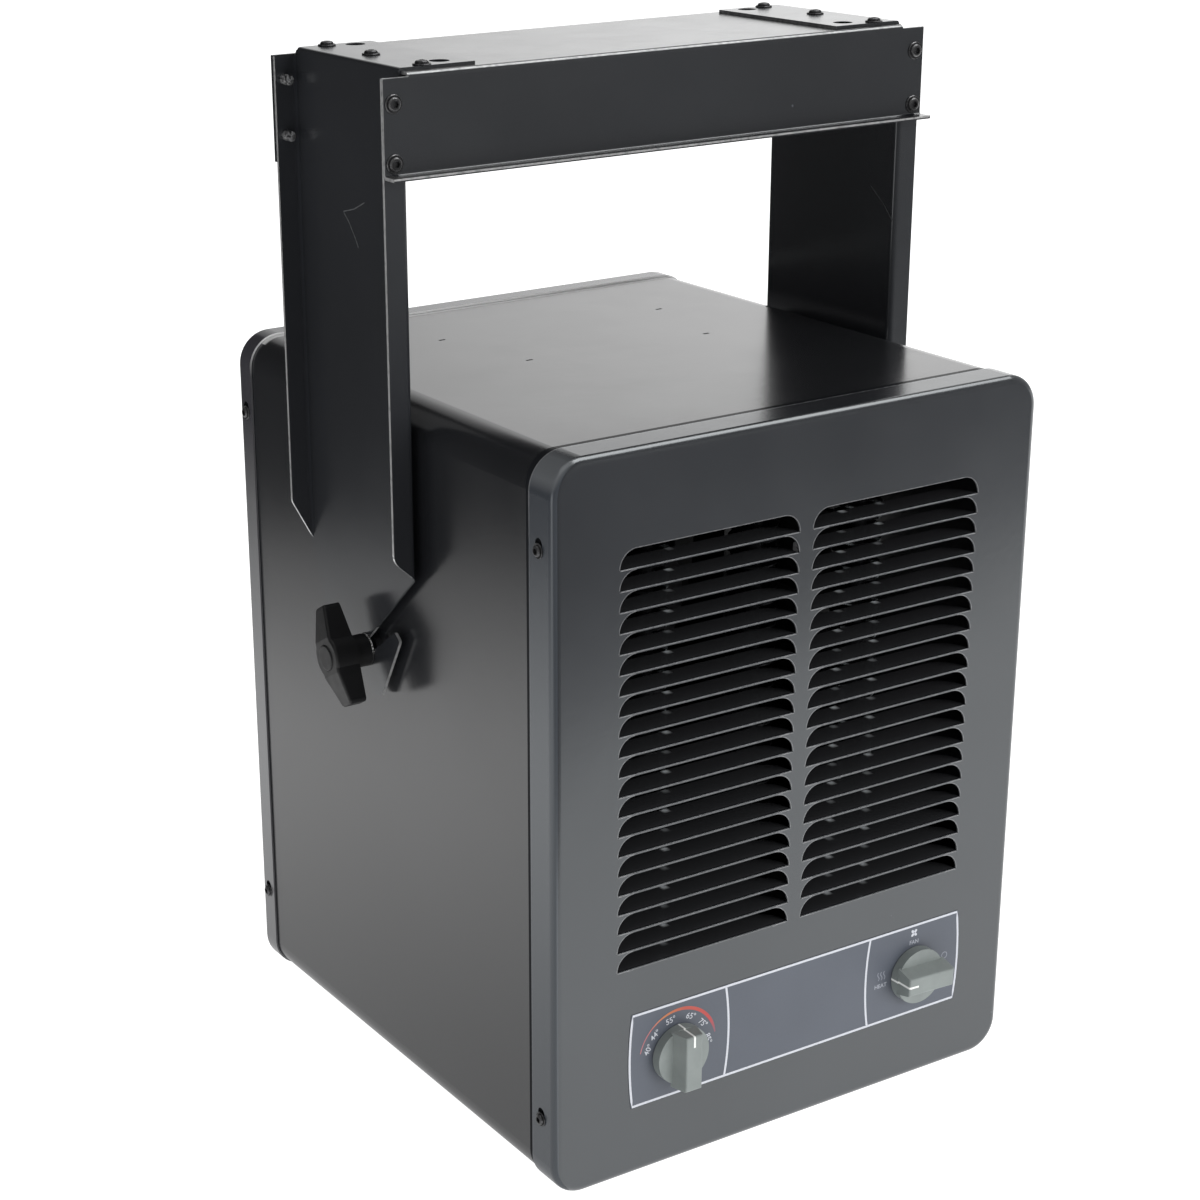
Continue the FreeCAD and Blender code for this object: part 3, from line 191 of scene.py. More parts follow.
def paint(name, edge=None, tone=1.0, dark=None, tint=None, lift=(), bare_glint=EDGE):
    """Smooth graphite powder coat: faint orange peel, drifting gloss and dust specks. tone scales the paint into
    lighter copies of it, as painted light. The edge mask lightens edges toward a metal colour, partly unpainted cut
    metal and partly painted highlight; the lift colours are painted light, and the dark mask takes the sheen away as
    painted shade."""
    k = Mat(name)
    cloud = k.noise(7.0, 4.0, 0.55)
    base = k.ramp(cloud, [(0.3, scaled(PAINT, 0.86 * tone)), (0.7, scaled(PAINT, 1.16 * tone))])
    speck_d = k.voronoi(95.0)
    speck_c = k.n.new("ShaderNodeSeparateColor")
    vor = k.n.new("ShaderNodeTexVoronoi")
    vor.inputs["Scale"].default_value = 95.0
    k.link(k.obj, vor.inputs["Vector"])
    k.link(vor.outputs["Color"], speck_c.inputs[0])
    speck = k.all(k.math("LESS_THAN", speck_d, 0.055), k.math("GREATER_THAN", speck_c.outputs[0], 0.93))
    base = k.mix(speck, base, scaled(PAINT, 6.0))
    for where, colour in lift:
        base = k.mix(where(k), base, colour)
    sheen_field = k.noise(26.0, 5.0, 0.62)
    gloss = k.remap(sheen_field, 0.3, 0.75, 0.185, 0.225)
    if edge is not None:
        e = edge(k)
        edge_breakup = k.remap(k.noise(420.0, 3.0, 0.6), 0.28, 0.62, 0.25, 1.0)
        e = k.math("MULTIPLY", e, edge_breakup)
        base = k.mix(e, base, bare_glint)
        k.put(Metallic=k.math("MULTIPLY", e, 0.55))
    peel = k.bump(k.noise(260.0, 2.0, 0.5), 0.05, 0.0004)
    grain = k.bump(k.noise(2200.0, 1.0, 0.5), 0.05, 0.0001, peel)
    k.put(Base_Color=base, Roughness=gloss, Normal=grain, Specular_IOR_Level=1.0)
    if tint is not None:
        k.put(Specular_Tint=(*tint, 1.0))
    if dark is not None:
        k.put(Specular_IOR_Level=k.remap(dark(k), 0.0, 1.0, 1.0, 0.02))
    return k.m


LV_IN, LV_OUT, LV_LOW, LV_PITCH, LV_HIGH, LV_BEND = 0.004, 0.1047, 0.1124, 0.00995, 0.009, 0.0005


def louvre_highlights(k):
    """Painted highlights along the bend under each louvre, round its cut corners, brighter at its tips, and along the
    top of the highest opening.
    """
    x, y, z = k.xyz()
    ax = k.math("ABSOLUTE", x)
    face = k.math("LESS_THAN", y, -0.1424)
    rows = k.band(z, LV_LOW - 0.0009, LV_LOW + LV_PITCH * 20 + LV_HIGH + 0.0004)
    span = k.band(ax, LV_IN - 0.0001, LV_OUT + 0.0001)
    land = k.math("LESS_THAN", k.math("MODULO", k.math("SUBTRACT", z, LV_LOW - LV_PITCH * 2 - LV_BEND - 0.0001), LV_PITCH), 0.00042)
    low = k.math("LESS_THAN", z, LV_LOW + LV_PITCH * 20 + 0.0005)
    line = k.all(land, span, face, rows, low)
    out = k.math("SUBTRACT", ax, LV_OUT - LV_HIGH)
    inn = k.math("SUBTRACT", LV_IN + LV_HIGH, ax)
    px = k.math("MAXIMUM", out, inn)
    vz = k.math("MODULO", k.math("SUBTRACT", z, LV_LOW - LV_PITCH), LV_PITCH)
    dist = k.math("SQRT", k.math("ADD", k.math("MULTIPLY", px, px), k.math("MULTIPLY", vz, vz)))
    ring = k.all(k.band(dist, LV_HIGH - 0.0001, LV_HIGH + 0.00042), k.math("GREATER_THAN", px, 0.0), face, rows)
    tip = k.all(line, k.math("GREATER_THAN", px, 0.002))
    crest = LV_LOW + LV_PITCH * 20 + LV_HIGH
    top = k.all(k.band(z, crest - 0.0001, crest + 0.00042), k.math("LESS_THAN", px, 0.0), face)
    return k.any(k.math("MULTIPLY", line, 0.40), k.math("MULTIPLY", ring, 0.36), k.math("MULTIPLY", tip, 0.75),
                 k.math("MULTIPLY", top, 0.40))


# Mask of the louvre blades; the front paint gives them a lighter colour as painted light and takes away most of their
# sheen as painted shade.
def louvre_blades(k):
    x, y, z = k.xyz()
    rows = k.band(z, LV_LOW - 0.0009, LV_LOW + LV_PITCH * 20 + LV_HIGH + 0.0004)
    return k.all(k.math("GREATER_THAN", y, -0.1415), k.math("LESS_THAN", y, -0.124), rows,
                 k.math("LESS_THAN", k.math("ABSOLUTE", x), 0.108))


def louvre_glints(k):
    """Painted glints: the sheen of the elements painted onto the inner end of the blades in three columns, brighter on
    alternate rows.
    """
    x, y, z = k.xyz()
    inner = k.all(k.remap(y, -0.1322, -0.1296, 0.0, 1.0), louvre_blades(k))
    pair = k.math("LESS_THAN", k.math("MODULO", k.math("SUBTRACT", z, LV_LOW - LV_PITCH * 2 - 0.003), LV_PITCH * 2), LV_PITCH)
    spots = []
    for at, odd, even in ((-0.0686, 1.0, 0.3), (0.0318, 0.35, 1.0), (0.0545, 1.0, 0.45)):
        near = k.remap(k.math("ABSOLUTE", k.math("SUBTRACT", x, at)), 0.0007, 0.0024, 1.0, 0.0)
        spots.append(k.math("MULTIPLY", near, k.remap(pair, 0.0, 1.0, odd, even)))
    return k.math("MULTIPLY", inner, k.any(*spots))


# Edge mask for the arms: free edges, ends, feet and tab lightened, partly unpainted cut metal and partly painted
# highlight, dimmed where the feet face downward.
def arm_edges(k):
    x, y, z = k.xyz()
    nx, ny, nz = k.nxyz()
    ax = k.math("ABSOLUTE", x)
    anx = k.math("ABSOLUTE", nx)
    free = k.math("GREATER_THAN", ax, 0.15471)
    ends = k.all(k.band(ax, 0.1447, 0.1549), k.math("LESS_THAN", nz, -0.2), k.band(z, 0.27, 0.302))
    under = k.all(k.math("LESS_THAN", ny, -0.25), k.math("LESS_THAN", nz, -0.25), k.math("GREATER_THAN", z, 0.2475))
    foot = k.all(k.math("LESS_THAN", anx, 0.3), k.band(ax, 0.14253, 0.14397), k.math("LESS_THAN", z, 0.2835),
                 k.remap(under, 0.0, 1.0, 0.75, 0.06))
    tab = k.all(k.math("LESS_THAN", ax, 0.10405), k.math("GREATER_THAN", z, 0.51))
    return k.any(free, ends, foot, k.math("MULTIPLY", tab, 0.3))


# Edge mask for the beam: painted highlight along the bend of its crown; the free ends, ears and lip lightened, partly
# unpainted cut metal and partly painted highlight.
def beam_edges(k):
    x, y, z = k.xyz()
    ax = k.math("ABSOLUTE", x)
    fore = k.math("LESS_THAN", y, 0.0)
    free = k.all(k.math("GREATER_THAN", ax, 0.15513), fore)
    ear = k.all(k.math("GREATER_THAN", z, 0.51668), k.math("GREATER_THAN", ax, 0.1419), fore)
    lip = k.all(k.math("LESS_THAN", y, -0.03943), k.math("GREATER_THAN", z, 0.4731))
    crown = k.all(k.band(z, 0.5175, 0.5183), k.math("LESS_THAN", y, -0.0300), k.math("LESS_THAN", ax, 0.142))
    return k.any(k.math("MULTIPLY", free, 0.85), k.math("MULTIPLY", ear, 0.9), k.math("MULTIPLY", lip, 0.85),
                 k.math("MULTIPLY", crown, 0.4))


# Painted highlight along the cut edge at the back of the front cover's lip, brighter toward the top.
def pan_edges(k):
    x, y, z = k.xyz()
    return k.math("MULTIPLY", k.band(y, -0.1242, -0.1230), k.remap(z, 0.325, 0.345, 0.1, 0.5))


# Painted reflection: a lighter, bluer tone on the side faces of the front cover's lip.
def pan_side(k):
    x, y, z = k.xyz()
    return k.all(k.math("GREATER_THAN", k.math("ABSOLUTE", k.nxyz()[0]), 0.4), k.math("GREATER_THAN", k.math("ABSOLUTE", x), 0.12))


# Painted highlight on the upper side corners of the front cover.
def pan_corner(k):
    nx, ny, nz = k.nxyz()
    x, y, z = k.xyz()
    lean = k.math("MULTIPLY", k.math("ABSOLUTE", nx), k.math("MAXIMUM", nz, 0.0))
    return k.all(k.remap(lean, 0.12, 0.4, 0.0, 1.0), k.math("GREATER_THAN", z, 0.33), k.math("GREATER_THAN", k.math("ABSOLUTE", x), 0.115))


# Painted light: the front-facing edge of the rear cover's lip made light along the top.
def rear_edge_top(k):
    x, y, z = k.xyz()
    return k.all(k.math("LESS_THAN", y, 0.14245), k.remap(z, 0.345, 0.358, 0.0, 1.0))


# Painted light on the front-facing edge of the rear cover's lip.
def rear_edge_side(k):
    x, y, z = k.xyz()
    return k.math("LESS_THAN", y, 0.14245)


# Painted light: a lighter tone on the side faces of the rear cover's lip.
def rear_lip_side(k):
    x, y, z = k.xyz()
    return k.all(k.math("LESS_THAN", y, 0.1545), k.math("GREATER_THAN", k.math("ABSOLUTE", k.nxyz()[0]), 0.35))


# Painted light: the rear lip's sides lighter toward the bottom.
def rear_lip_low(k):
    x, y, z = k.xyz()
    return k.all(rear_lip_side(k), k.remap(z, 0.325, 0.275, 0.0, 1.0))


# Painted light: a light strip along the back edge of the wrapper's top, where the rear cover's lip meets it.
def wrap_back_strip(k):
    x, y, z = k.xyz()
    return k.all(k.remap(y, 0.1378, 0.1394, 0.0, 1.0), k.math("GREATER_THAN", k.nxyz()[2], 0.8))


def arm_fold(k):
    """Painted shade: the inside of the rear bend of the left arm, and its mirror on the right, lose their sheen;
    front-facing inward bends of the left arm lose most of theirs.
    """
    nx, ny, nz = k.nxyz()
    x = k.xyz()[0]
    out = k.math("MULTIPLY", nx, k.math("SIGN", x))
    back = k.all(k.math("GREATER_THAN", out, 0.15), k.math("LESS_THAN", ny, -0.15))
    near = k.all(k.math("LESS_THAN", out, -0.2), k.math("LESS_THAN", ny, -0.2), k.math("LESS_THAN", x, 0.0))
    return k.any(back, k.math("MULTIPLY", near, 0.8))


# Painted shade: the end faces at the back of the beam lose their sheen.
def beam_back_end(k):
    return k.all(k.math("GREATER_THAN", k.xyz()[1], 0.0), k.math("GREATER_THAN", k.math("ABSOLUTE", k.nxyz()[0]), 0.7))


# Painted light: the top of the beam lighter toward the left.
def beam_roof(k):
    return k.all(k.math("GREATER_THAN", k.nxyz()[2], 0.9), k.remap(k.xyz()[0], -0.1, 0.08, 1.0, 0.0))


def seam_shade(k):
    """Painted shade: the joint line where the wrapper runs in under the two covers, the sides at the back, and the
    walls of the small holes in the top lose their sheen and read dark.
    """
    y = k.xyz()[1]
    nz = k.math("MAXIMUM", k.nxyz()[2], 0.0)
    lim = k.math("MULTIPLY_ADD", nz, 0.0026, -0.1198)
    side = k.math("LESS_THAN", nz, 0.3)
    bore = k.all(k.math("GREATER_THAN", k.xyz()[2], 0.3632), k.math("LESS_THAN", k.math("ABSOLUTE", k.nxyz()[2]), 0.3))
    return k.any(k.math("LESS_THAN", y, lim), k.all(k.math("GREATER_THAN", y, 0.1417), side), bore)


# In the paints below, the tone factors make lighter copies of the one graphite paint for the covers, arms and beam as
# painted light; the lift colours and glints are painted light, and the dark masks are painted shade.
COOL = (0.93, 0.98, 1.0)
mat_front = paint("graphite_front", lambda k: k.any(louvre_highlights(k), pan_edges(k)), 2.2,
                  lambda k: k.math("MULTIPLY", louvre_blades(k), 0.6), COOL,
                  [(louvre_blades, (0.042, 0.043, 0.046)), (pan_side, (0.040, 0.045, 0.054)), (pan_corner, (0.13, 0.137, 0.146)),
                   (louvre_glints, (0.92, 0.97, 1.0))])
mat_wrap = paint("graphite_wrap", None, 1.2, seam_shade, None, [(wrap_back_strip, (0.62, 0.62, 0.62))])
mat_arm = paint("graphite_arm", arm_edges, 1.8, arm_fold, (0.96, 0.985, 1.0), (), (0.66, 0.66, 0.66))
mat_beam = paint("graphite_beam", beam_edges, 1.5, beam_back_end, (0.96, 0.985, 1.0), [(beam_roof, (0.09, 0.09, 0.09))],
                 (0.62, 0.62, 0.62))
mat_rear = paint("graphite_rear", None, 1.8, None, (0.95, 0.975, 1.0),
                 [(rear_lip_side, (0.043, 0.042, 0.049)), (rear_lip_low, (0.13, 0.13, 0.134)), (rear_edge_side, (0.11, 0.11, 0.116)),
                  (rear_edge_top, (0.70, 0.70, 0.70))])


def plastic(name, colour, rough, spec=0.5, grain=1500.0, amount=0.06):
    k = Mat(name)
    c = k.ramp(k.noise(60.0, 4.0, 0.6), [(0.3, scaled(colour, 0.88)), (0.7, scaled(colour, 1.1))])
    r = k.remap(k.noise(180.0, 3.0, 0.6), 0.3, 0.7, rough - 0.05, rough + 0.06)
    nb = k.bump(k.noise(grain, 2.0, 0.5), amount, 0.0002)
    k.put(Base_Color=c, Roughness=r, Normal=nb, Specular_IOR_Level=spec)
    return k.m


def metal(name, colour, rough, stretch=None, scale=500.0, spread=0.25, metallic=1.0):
    k = Mat(name)
    nz = k.noise(scale, 4.0, 0.6, stretch)
    c = k.ramp(nz, [(0.25, scaled(colour, 1.0 - spread)), (0.75, scaled(colour, 1.0 + spread * 0.5))])
    r = k.remap(nz, 0.3, 0.7, rough - 0.07, rough + 0.1)
    nb = k.bump(nz, 0.08, 0.0001)
    k.put(Base_Color=c, Roughness=r, Normal=nb, Metallic=metallic)
    return k.m


def dial_finish(name, cx, cz, turn):
    """Grey-green moulding with a white index over the end of its grip."""
    k = Mat(name)
    x, y, z = k.xyz()
    sa, ca = math.sin(math.radians(turn)), math.cos(math.radians(turn))
    dx, dz = k.math("SUBTRACT", x, cx), k.math("SUBTRACT", z, cz)
    along = k.math("ADD", k.math("MULTIPLY", dx, sa), k.math("MULTIPLY", dz, ca))
    off = k.math("ABSOLUTE", k.math("SUBTRACT", k.math("MULTIPLY", dx, ca), k.math("MULTIPLY", dz, sa)))
    mark = k.all(k.math("GREATER_THAN", along, 0.0082), k.remap(off, 0.00048, 0.0006, 1.0, 0.0))
    colour = (0.222, 0.248, 0.241)
    c = k.ramp(k.noise(60.0, 4.0, 0.6), [(0.3, scaled(colour, 0.9)), (0.7, scaled(colour, 1.08))])
    c = k.mix(mark, c, (0.86, 0.87, 0.85))
    r = k.remap(k.noise(180.0, 3.0, 0.6), 0.3, 0.7, 0.37, 0.48)
    k.put(Base_Color=c, Roughness=r, Normal=k.bump(k.noise(1400.0, 2.0, 0.5), 0.08, 0.0002), Specular_IOR_Level=0.45)
    return k.m


mat_dial_t = dial_finish("dial_grey_left", -0.0691, 0.0604, 0.0)
mat_dial_s = dial_finish("dial_grey_right", 0.0794, 0.0603, -87.5)
mat_clamp = plastic("clamp_black", (0.0085, 0.0085, 0.0095), 0.44, 0.45, 900.0, 0.16)
mat_black_part = plastic("moulded_black", (0.02, 0.02, 0.021), 0.5)
# Painted shade: the element insulators are made nearly black, standing in for the shade inside the cabinet.
mat_ceramic = plastic("insulator_painted_shade", (0.022, 0.018, 0.016), 0.3, 0.4, 400.0, 0.05)
mat_rubber = plastic("rubber_black", (0.018, 0.018, 0.018), 0.7, 0.3, 700.0, 0.2)
mat_zinc = metal("zinc_plate", (0.70, 0.70, 0.68), 0.26)
# Painted shade: the galvanised tray and racks are made dark, standing in for the shade inside the cabinet.
mat_galv = metal("galvanised_sheet", (0.13, 0.132, 0.135), 0.45, None, 120.0, 0.35)
mat_dark_steel = metal("dark_steel", (0.16, 0.16, 0.165), 0.38)
# Painted shade: fan shroud, motor bracket and pivot plates are made nearly black.
mat_shroud = metal("shroud_sheet", (0.012, 0.0123, 0.013), 0.55, None, 120.0, 0.35)


def washer_finish():
    """Zinc with painted glints speckled over its upper half and painted shade over its lower half."""
    k = Mat("washer_zinc")
    nz = k.noise(1500.0, 3.0, 0.6)
    lit_half = k.remap(k.xyz()[2], 0.2325, 0.2345, 0.0, 1.0)
    c = k.mix(lit_half, (0.03, 0.03, 0.031), k.ramp(nz, [(0.48, (0.06, 0.06, 0.06)), (0.56, (0.95, 0.95, 0.94))]))
    k.put(Base_Color=c, Metallic=0.2, Roughness=k.remap(nz, 0.3, 0.7, 0.2, 0.4), Normal=k.bump(nz, 0.3, 0.0002))
    return k.m


mat_washer = washer_finish()
# Painted shade: fan and motor are made nearly black, standing in for the shade inside the cabinet.
mat_alu = metal("fan_sheet", (0.03, 0.031, 0.033), 0.45, None, 160.0)
mat_iron = metal("motor_case", (0.03, 0.03, 0.033), 0.5, None, 220.0, 0.3, 0.4)
mat_copper = metal("copper_tube", (0.72, 0.40, 0.25), 0.3)


def screw_finish(name, axis, sheen_colour, tip=None):
    """Black oxide with painted highlights where the head and its flange curve over, and painted glints on the tips when
    a tip limit is given.
    """
    k = Mat(name)
    nz = k.noise(900.0, 4.0, 0.65)
    lean = k.math("ABSOLUTE", k.nxyz()[axis])
    curve = k.all(k.remap(lean, 0.2, 0.45, 0.0, 1.0), k.remap(lean, 0.86, 0.96, 1.0, 0.0))
    sheen_field = k.math("MULTIPLY", curve, k.remap(nz, 0.35, 0.6, 0.25, 1.0))
    dull = k.ramp(nz, [(0.40, (0.013, 0.013, 0.014)), (0.62, (0.03, 0.03, 0.032)), (0.80, (0.12, 0.12, 0.12))])
    if tip is not None:
        bare_glint = k.all(k.math("LESS_THAN", k.xyz()[axis], tip), k.math("GREATER_THAN", nz, 0.47))
        sheen_field = k.math("MAXIMUM", sheen_field, bare_glint)
    k.put(Base_Color=k.mix(sheen_field, dull, sheen_colour), Roughness=k.remap(nz, 0.3, 0.8, 0.32, 0.2),
          Metallic=k.math("MULTIPLY_ADD", sheen_field, 0.6, 0.25), Normal=k.bump(nz, 0.12, 0.0001))
    return k.m


mat_screw_x = screw_finish("screw_black_side", 0, (0.16, 0.16, 0.165))
mat_screw_y = screw_finish("screw_black_front", 1, (0.17, 0.17, 0.172))
mat_screw_r = screw_finish("screw_black_rear", 1, (0.95, 0.95, 0.95), 0.0726)
mat_screw_z = screw_finish("screw_black_top", 2, (0.05, 0.05, 0.052))


def element_finish():
    """Dark fins, painted shade for the inside of the cabinet, with painted glints on the edge nearest the louvres."""
    k = Mat("element_sheath")
    x, y, z = k.xyz()
    nz = k.noise(300.0, 4.0, 0.6)
    off = k.math("ABSOLUTE", k.math("ADD", x, 0.0557))
    for at in (0.0532, 0.0700):
        off = k.math("MINIMUM", off, k.math("ABSOLUTE", k.math("SUBTRACT", x, at)))
    glint = k.all(k.remap(off, 0.0007, 0.0026, 1.0, 0.0), k.math("LESS_THAN", y, -0.1070))
    c = k.mix(glint, k.ramp(nz, [(0.3, (0.014, 0.0143, 0.015)), (0.7, (0.03, 0.031, 0.034))]), (0.78, 0.84, 0.86))
    k.put(Base_Color=c, Metallic=k.remap(nz, 0.2, 0.8, 0.75, 0.95), Roughness=k.remap(nz, 0.3, 0.7, 0.22, 0.34),
          Normal=k.bump(nz, 0.1, 0.0001))
    return k.m


def thread_finish():
    """Zinc stud with a fine rolled thread along X; its colour runs dark to bright over each turn as painted shade and
    highlight.
    """
    k = Mat("zinc_thread")
    nz = k.noise(500.0, 4.0, 0.6)
    wave = k.math("SINE", k.math("MULTIPLY", k.xyz()[0], 2 * math.pi / 0.00125))
    c = k.ramp(wave, [(0.0, (0.16, 0.16, 0.16)), (1.0, (0.82, 0.82, 0.80))])
    k.put(Base_Color=c, Metallic=1.0, Roughness=k.remap(nz, 0.3, 0.7, 0.16, 0.3), Normal=k.bump(wave, 0.8, 0.0004))
    return k.m


mat_element = element_finish()
mat_thread = thread_finish()


def label_finish():
    """Matte printed film, slightly blue, with a fine fleck."""
    k = Mat("label_film")
    nz = k.noise(1300.0, 2.0, 0.6)
    wide = k.noise(14.0, 3.0, 0.5)
    a = k.ramp(nz, [(0.3, (0.075, 0.085, 0.107)), (0.7, (0.093, 0.106, 0.132))])
    b = k.ramp(wide, [(0.3, (0.070, 0.080, 0.101)), (0.7, (0.098, 0.110, 0.137))])
    n = k.n.new("ShaderNodeMix")
    n.data_type = "RGBA"
    n.inputs[0].default_value = 0.5
    k.link(a, n.inputs[6])
    k.link(b, n.inputs[7])
    k.put(Base_Color=n.outputs[2], Roughness=k.remap(nz, 0.3, 0.7, 0.42, 0.55), Normal=k.bump(nz, 0.04, 0.0001))
    return k.m


mat_label = label_finish()


def ink(name, colour):
    k = Mat(name)
    nz = k.noise(2600.0, 2.0, 0.6)
    c = k.ramp(nz, [(0.25, scaled(colour, 0.86)), (0.6, colour)])
    k.put(Base_Color=c, Roughness=k.remap(nz, 0.3, 0.7, 0.42, 0.56))
    return k.m


mat_white = ink("ink_white", (0.60, 0.62, 0.67))
mat_faint = ink("ink_faint", (0.25, 0.265, 0.31))
mat_soft = ink("ink_soft", (0.38, 0.40, 0.45))


def scale_ink():
    """Arc ink that runs from pale rose through orange to deep red."""
    k = Mat("ink_scale")
    at = k.n.new("ShaderNodeAttribute")
    at.attribute_name = "along"
    c = k.ramp(at.outputs["Fac"], [(0.0, (0.42, 0.17, 0.19)), (0.16, (0.48, 0.15, 0.16)), (0.36, (0.50, 0.19, 0.08)),
                                   (0.56, (0.47, 0.075, 0.05)), (0.84, (0.44, 0.05, 0.05)), (1.0, (0.22, 0.09, 0.12))])
    nz = k.noise(2600.0, 2.0, 0.6)
    k.put(Base_Color=c, Roughness=k.remap(nz, 0.3, 0.7, 0.42, 0.56))
    return k.m


mat_arc = scale_ink()

# ------------------------------------------------------- finishes on CAD nodes

FINISH = {
    "wrapper": mat_wrap, "front_cover": mat_front, "rear_cover": mat_rear, "bracket_arm_left": mat_arm,
    "bracket_arm_right": mat_arm, "bracket_beam": mat_beam, "control_label": mat_label,
    "thermostat_knob": mat_dial_t, "selector_knob": mat_dial_s, "cable_bush": mat_rubber,
    "element_insulators": mat_ceramic, "fan_blades": mat_alu, "fan_hub": mat_alu,
    "thermostat_bulb": mat_copper, "thermostat_capillary": mat_copper, "ground_stud": mat_copper,
}
for n in ("front_cover_screws", "rear_cover_screws"):
    FINISH[n] = mat_screw_x
FINISH["bracket_front_screws"] = mat_screw_y
FINISH["bracket_rear_screws"] = mat_screw_r
FINISH["bracket_top_screws"] = mat_screw_z
for s in ("left", "right"):
    FINISH["clamp_knob_" + s] = mat_clamp
    FINISH["knob_cap_" + s] = mat_clamp
    FINISH["clamp_stud_" + s] = mat_thread
    FINISH["clamp_washer_" + s] = mat_washer
    FINISH["pivot_bush_" + s] = mat_dark_steel
    FINISH["pivot_nut_" + s] = mat_dark_steel
    FINISH["pivot_plate_" + s] = mat_shroud
# Painted shade: the right stud gets dark steel, a darker copy of the left stud's bright zinc.
FINISH["clamp_stud_right"] = mat_dark_steel
for n in ("thermostat_shaft", "selector_shaft", "motor_shaft", "motor_screws", "terminal_screws", "control_nuts",
          "motor_bearings", "element_terminals"):
    FINISH[n] = mat_zinc
FINISH["fan_shroud"] = mat_shroud
FINISH["motor_bracket"] = mat_shroud
for n in ("control_tray", "element_rack_lower", "element_rack_upper"):
    FINISH[n] = mat_galv
for n in ("motor_stator", "motor_front_bell", "motor_rear_bell", "motor_rotor"):
    FINISH[n] = mat_iron
for n in ("heating_element_left", "heating_element_center", "heating_element_right"):
    FINISH[n] = mat_element
for n in ("thermostat_body", "selector_switch_body", "heater_relay", "terminal_block", "high_limit_switch"):
    FINISH[n] = mat_black_part
for n, o in nodes.items():
    if not o.data.materials:
        o.data.materials.append(FINISH[n])
    for i in range(len(o.data.materials)):
        o.data.materials[i] = FINISH[n]


def soften(name, width, segments=2, angle=35):
    b = nodes[name].modifiers.new("edge", "BEVEL")
    b.width = width
    b.segments = segments
    b.limit_method = "ANGLE"
    b.angle_limit = math.radians(angle)
    b.harden_normals = False
    b.miter_outer = "MITER_ARC"


for n in ("thermostat_knob", "selector_knob"):
    soften(n, 0.55 * MM, 3, 30)

# ------------------------------------------------------------- piece builders


def mesh_piece(name, verts, faces, mat, body, smooth=False):
    me = bpy.data.meshes.new(name)
    me.from_pydata([tuple(v) for v in verts], [], faces)
    me.validate()
    bm = bmesh.new()
    bm.from_mesh(me)
    bmesh.ops.recalc_face_normals(bm, faces=bm.faces)
    bm.to_mesh(me)
    bm.free()
    ob = bpy.data.objects.new(name, me)
    scene.collection.objects.link(ob)
    me.materials.append(mat)
    if smooth:
        for p in me.polygons:
            p.use_smooth = True
    if body:
        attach(ob, body)
    return ob


def ribbon_data(centre, width, up, thick, closed=False):
    """Closed thin strip along a polyline; up is the way it stands off its base."""
    n = len(centre)
    verts = []
    for i in range(n):
        a = centre[(i - 1) % n] if (closed or i > 0) else centre[i]
        b = centre[(i + 1) % n] if (closed or i < n - 1) else centre[i]
        run = (Vector(b) - Vector(a)).normalized()
        side = run.cross(up).normalized()
        w = (width[i] if isinstance(width, (list, tuple)) else width) / 2
        p = Vector(centre[i])
        verts += [p - side * w, p + side * w, p + side * w + up * thick, p - side * w + up * thick]
    faces = []
    last = n if closed else n - 1
    for i in range(last):
        j = (i + 1) % n
        for k in range(4):
            l = (k + 1) % 4
            faces.append((i * 4 + k, i * 4 + l, j * 4 + l, j * 4 + k))
    if not closed:
        faces += [(3, 2, 1, 0), tuple((n - 1) * 4 + k for k in range(4))]
    return verts, faces


OUT = Vector((0, -1, 0))
FACE_Y = -143.25 * MM
INK_T = 0.03 * MM


def flat(pts):
    return [Vector((x * MM, FACE_Y, z * MM)) for x, z in pts]


def join_data(parts):
    verts, faces = [], []
    for v, f in parts:
        k = len(verts)
        verts += v
        faces += [tuple(i + k for i in q) for q in f]
    return verts, faces


def bowed(x, z0, z1, bow, n=14):
    out = []
    for i in range(n + 1):
        t = i / n
        out.append((x + bow * (1 - (2 * t - 1) ** 2), z0 + (z1 - z0) * t))
    return out


# white frame of the control label and its two dividers
L, R, B, T = -96.4, 107.8, 37.2, 87.8
m = 0.75
left = bowed(L + m, B + m, T - m, -1.7)
right = bowed(R - m, B + m, T - m, 1.7)
loop = left[::-1] + [(L + m + (R - L - 2 * m) * i / 6, B + m) for i in range(1, 6)] + right \
    + [(R - m - (R - L - 2 * m) * i / 6, T - m) for i in range(1, 6)]
frame_data = [ribbon_data(flat(loop), 1.2 * MM, OUT, INK_T, True)]
frame_data.append(ribbon_data(flat(bowed(-40.5, B + 1.3, T - 1.3, 2.0)), 1.2 * MM, OUT, INK_T))
frame_data.append(ribbon_data(flat(bowed(49.8, B + 1.3, T - 1.3, -2.0)), 1.2 * MM, OUT, INK_T))
mesh_piece("label_frame_print", *join_data(frame_data), mat_white, "cabinet")

# temperature arc
TX, TZ = -69.1, 60.4
SX, SZ = 79.4, 61.6
pts, wid, along = [], [], []
for i in range(49):
    t = i / 48
    a = math.radians(-77 + 157 * t)
    pts.append((TX + 22.6 * math.sin(a), TZ + 22.6 * math.cos(a)))
    wid.append((0.5 + 1.2 * min(1.0, max(0.0, (t - 0.2) / 0.36)) * min(1.0, (1.02 - t) / 0.14)) * MM)
    along.append(t)
v, f = ribbon_data(flat(pts), wid, OUT, INK_T)
arc = mesh_piece("scale_arc_print", v, f, mat_arc, "cabinet")
attr = arc.data.attributes.new("along", "FLOAT", "POINT")
for i in range(len(arc.data.vertices)):
    attr.data[i].value = along[i // 4]


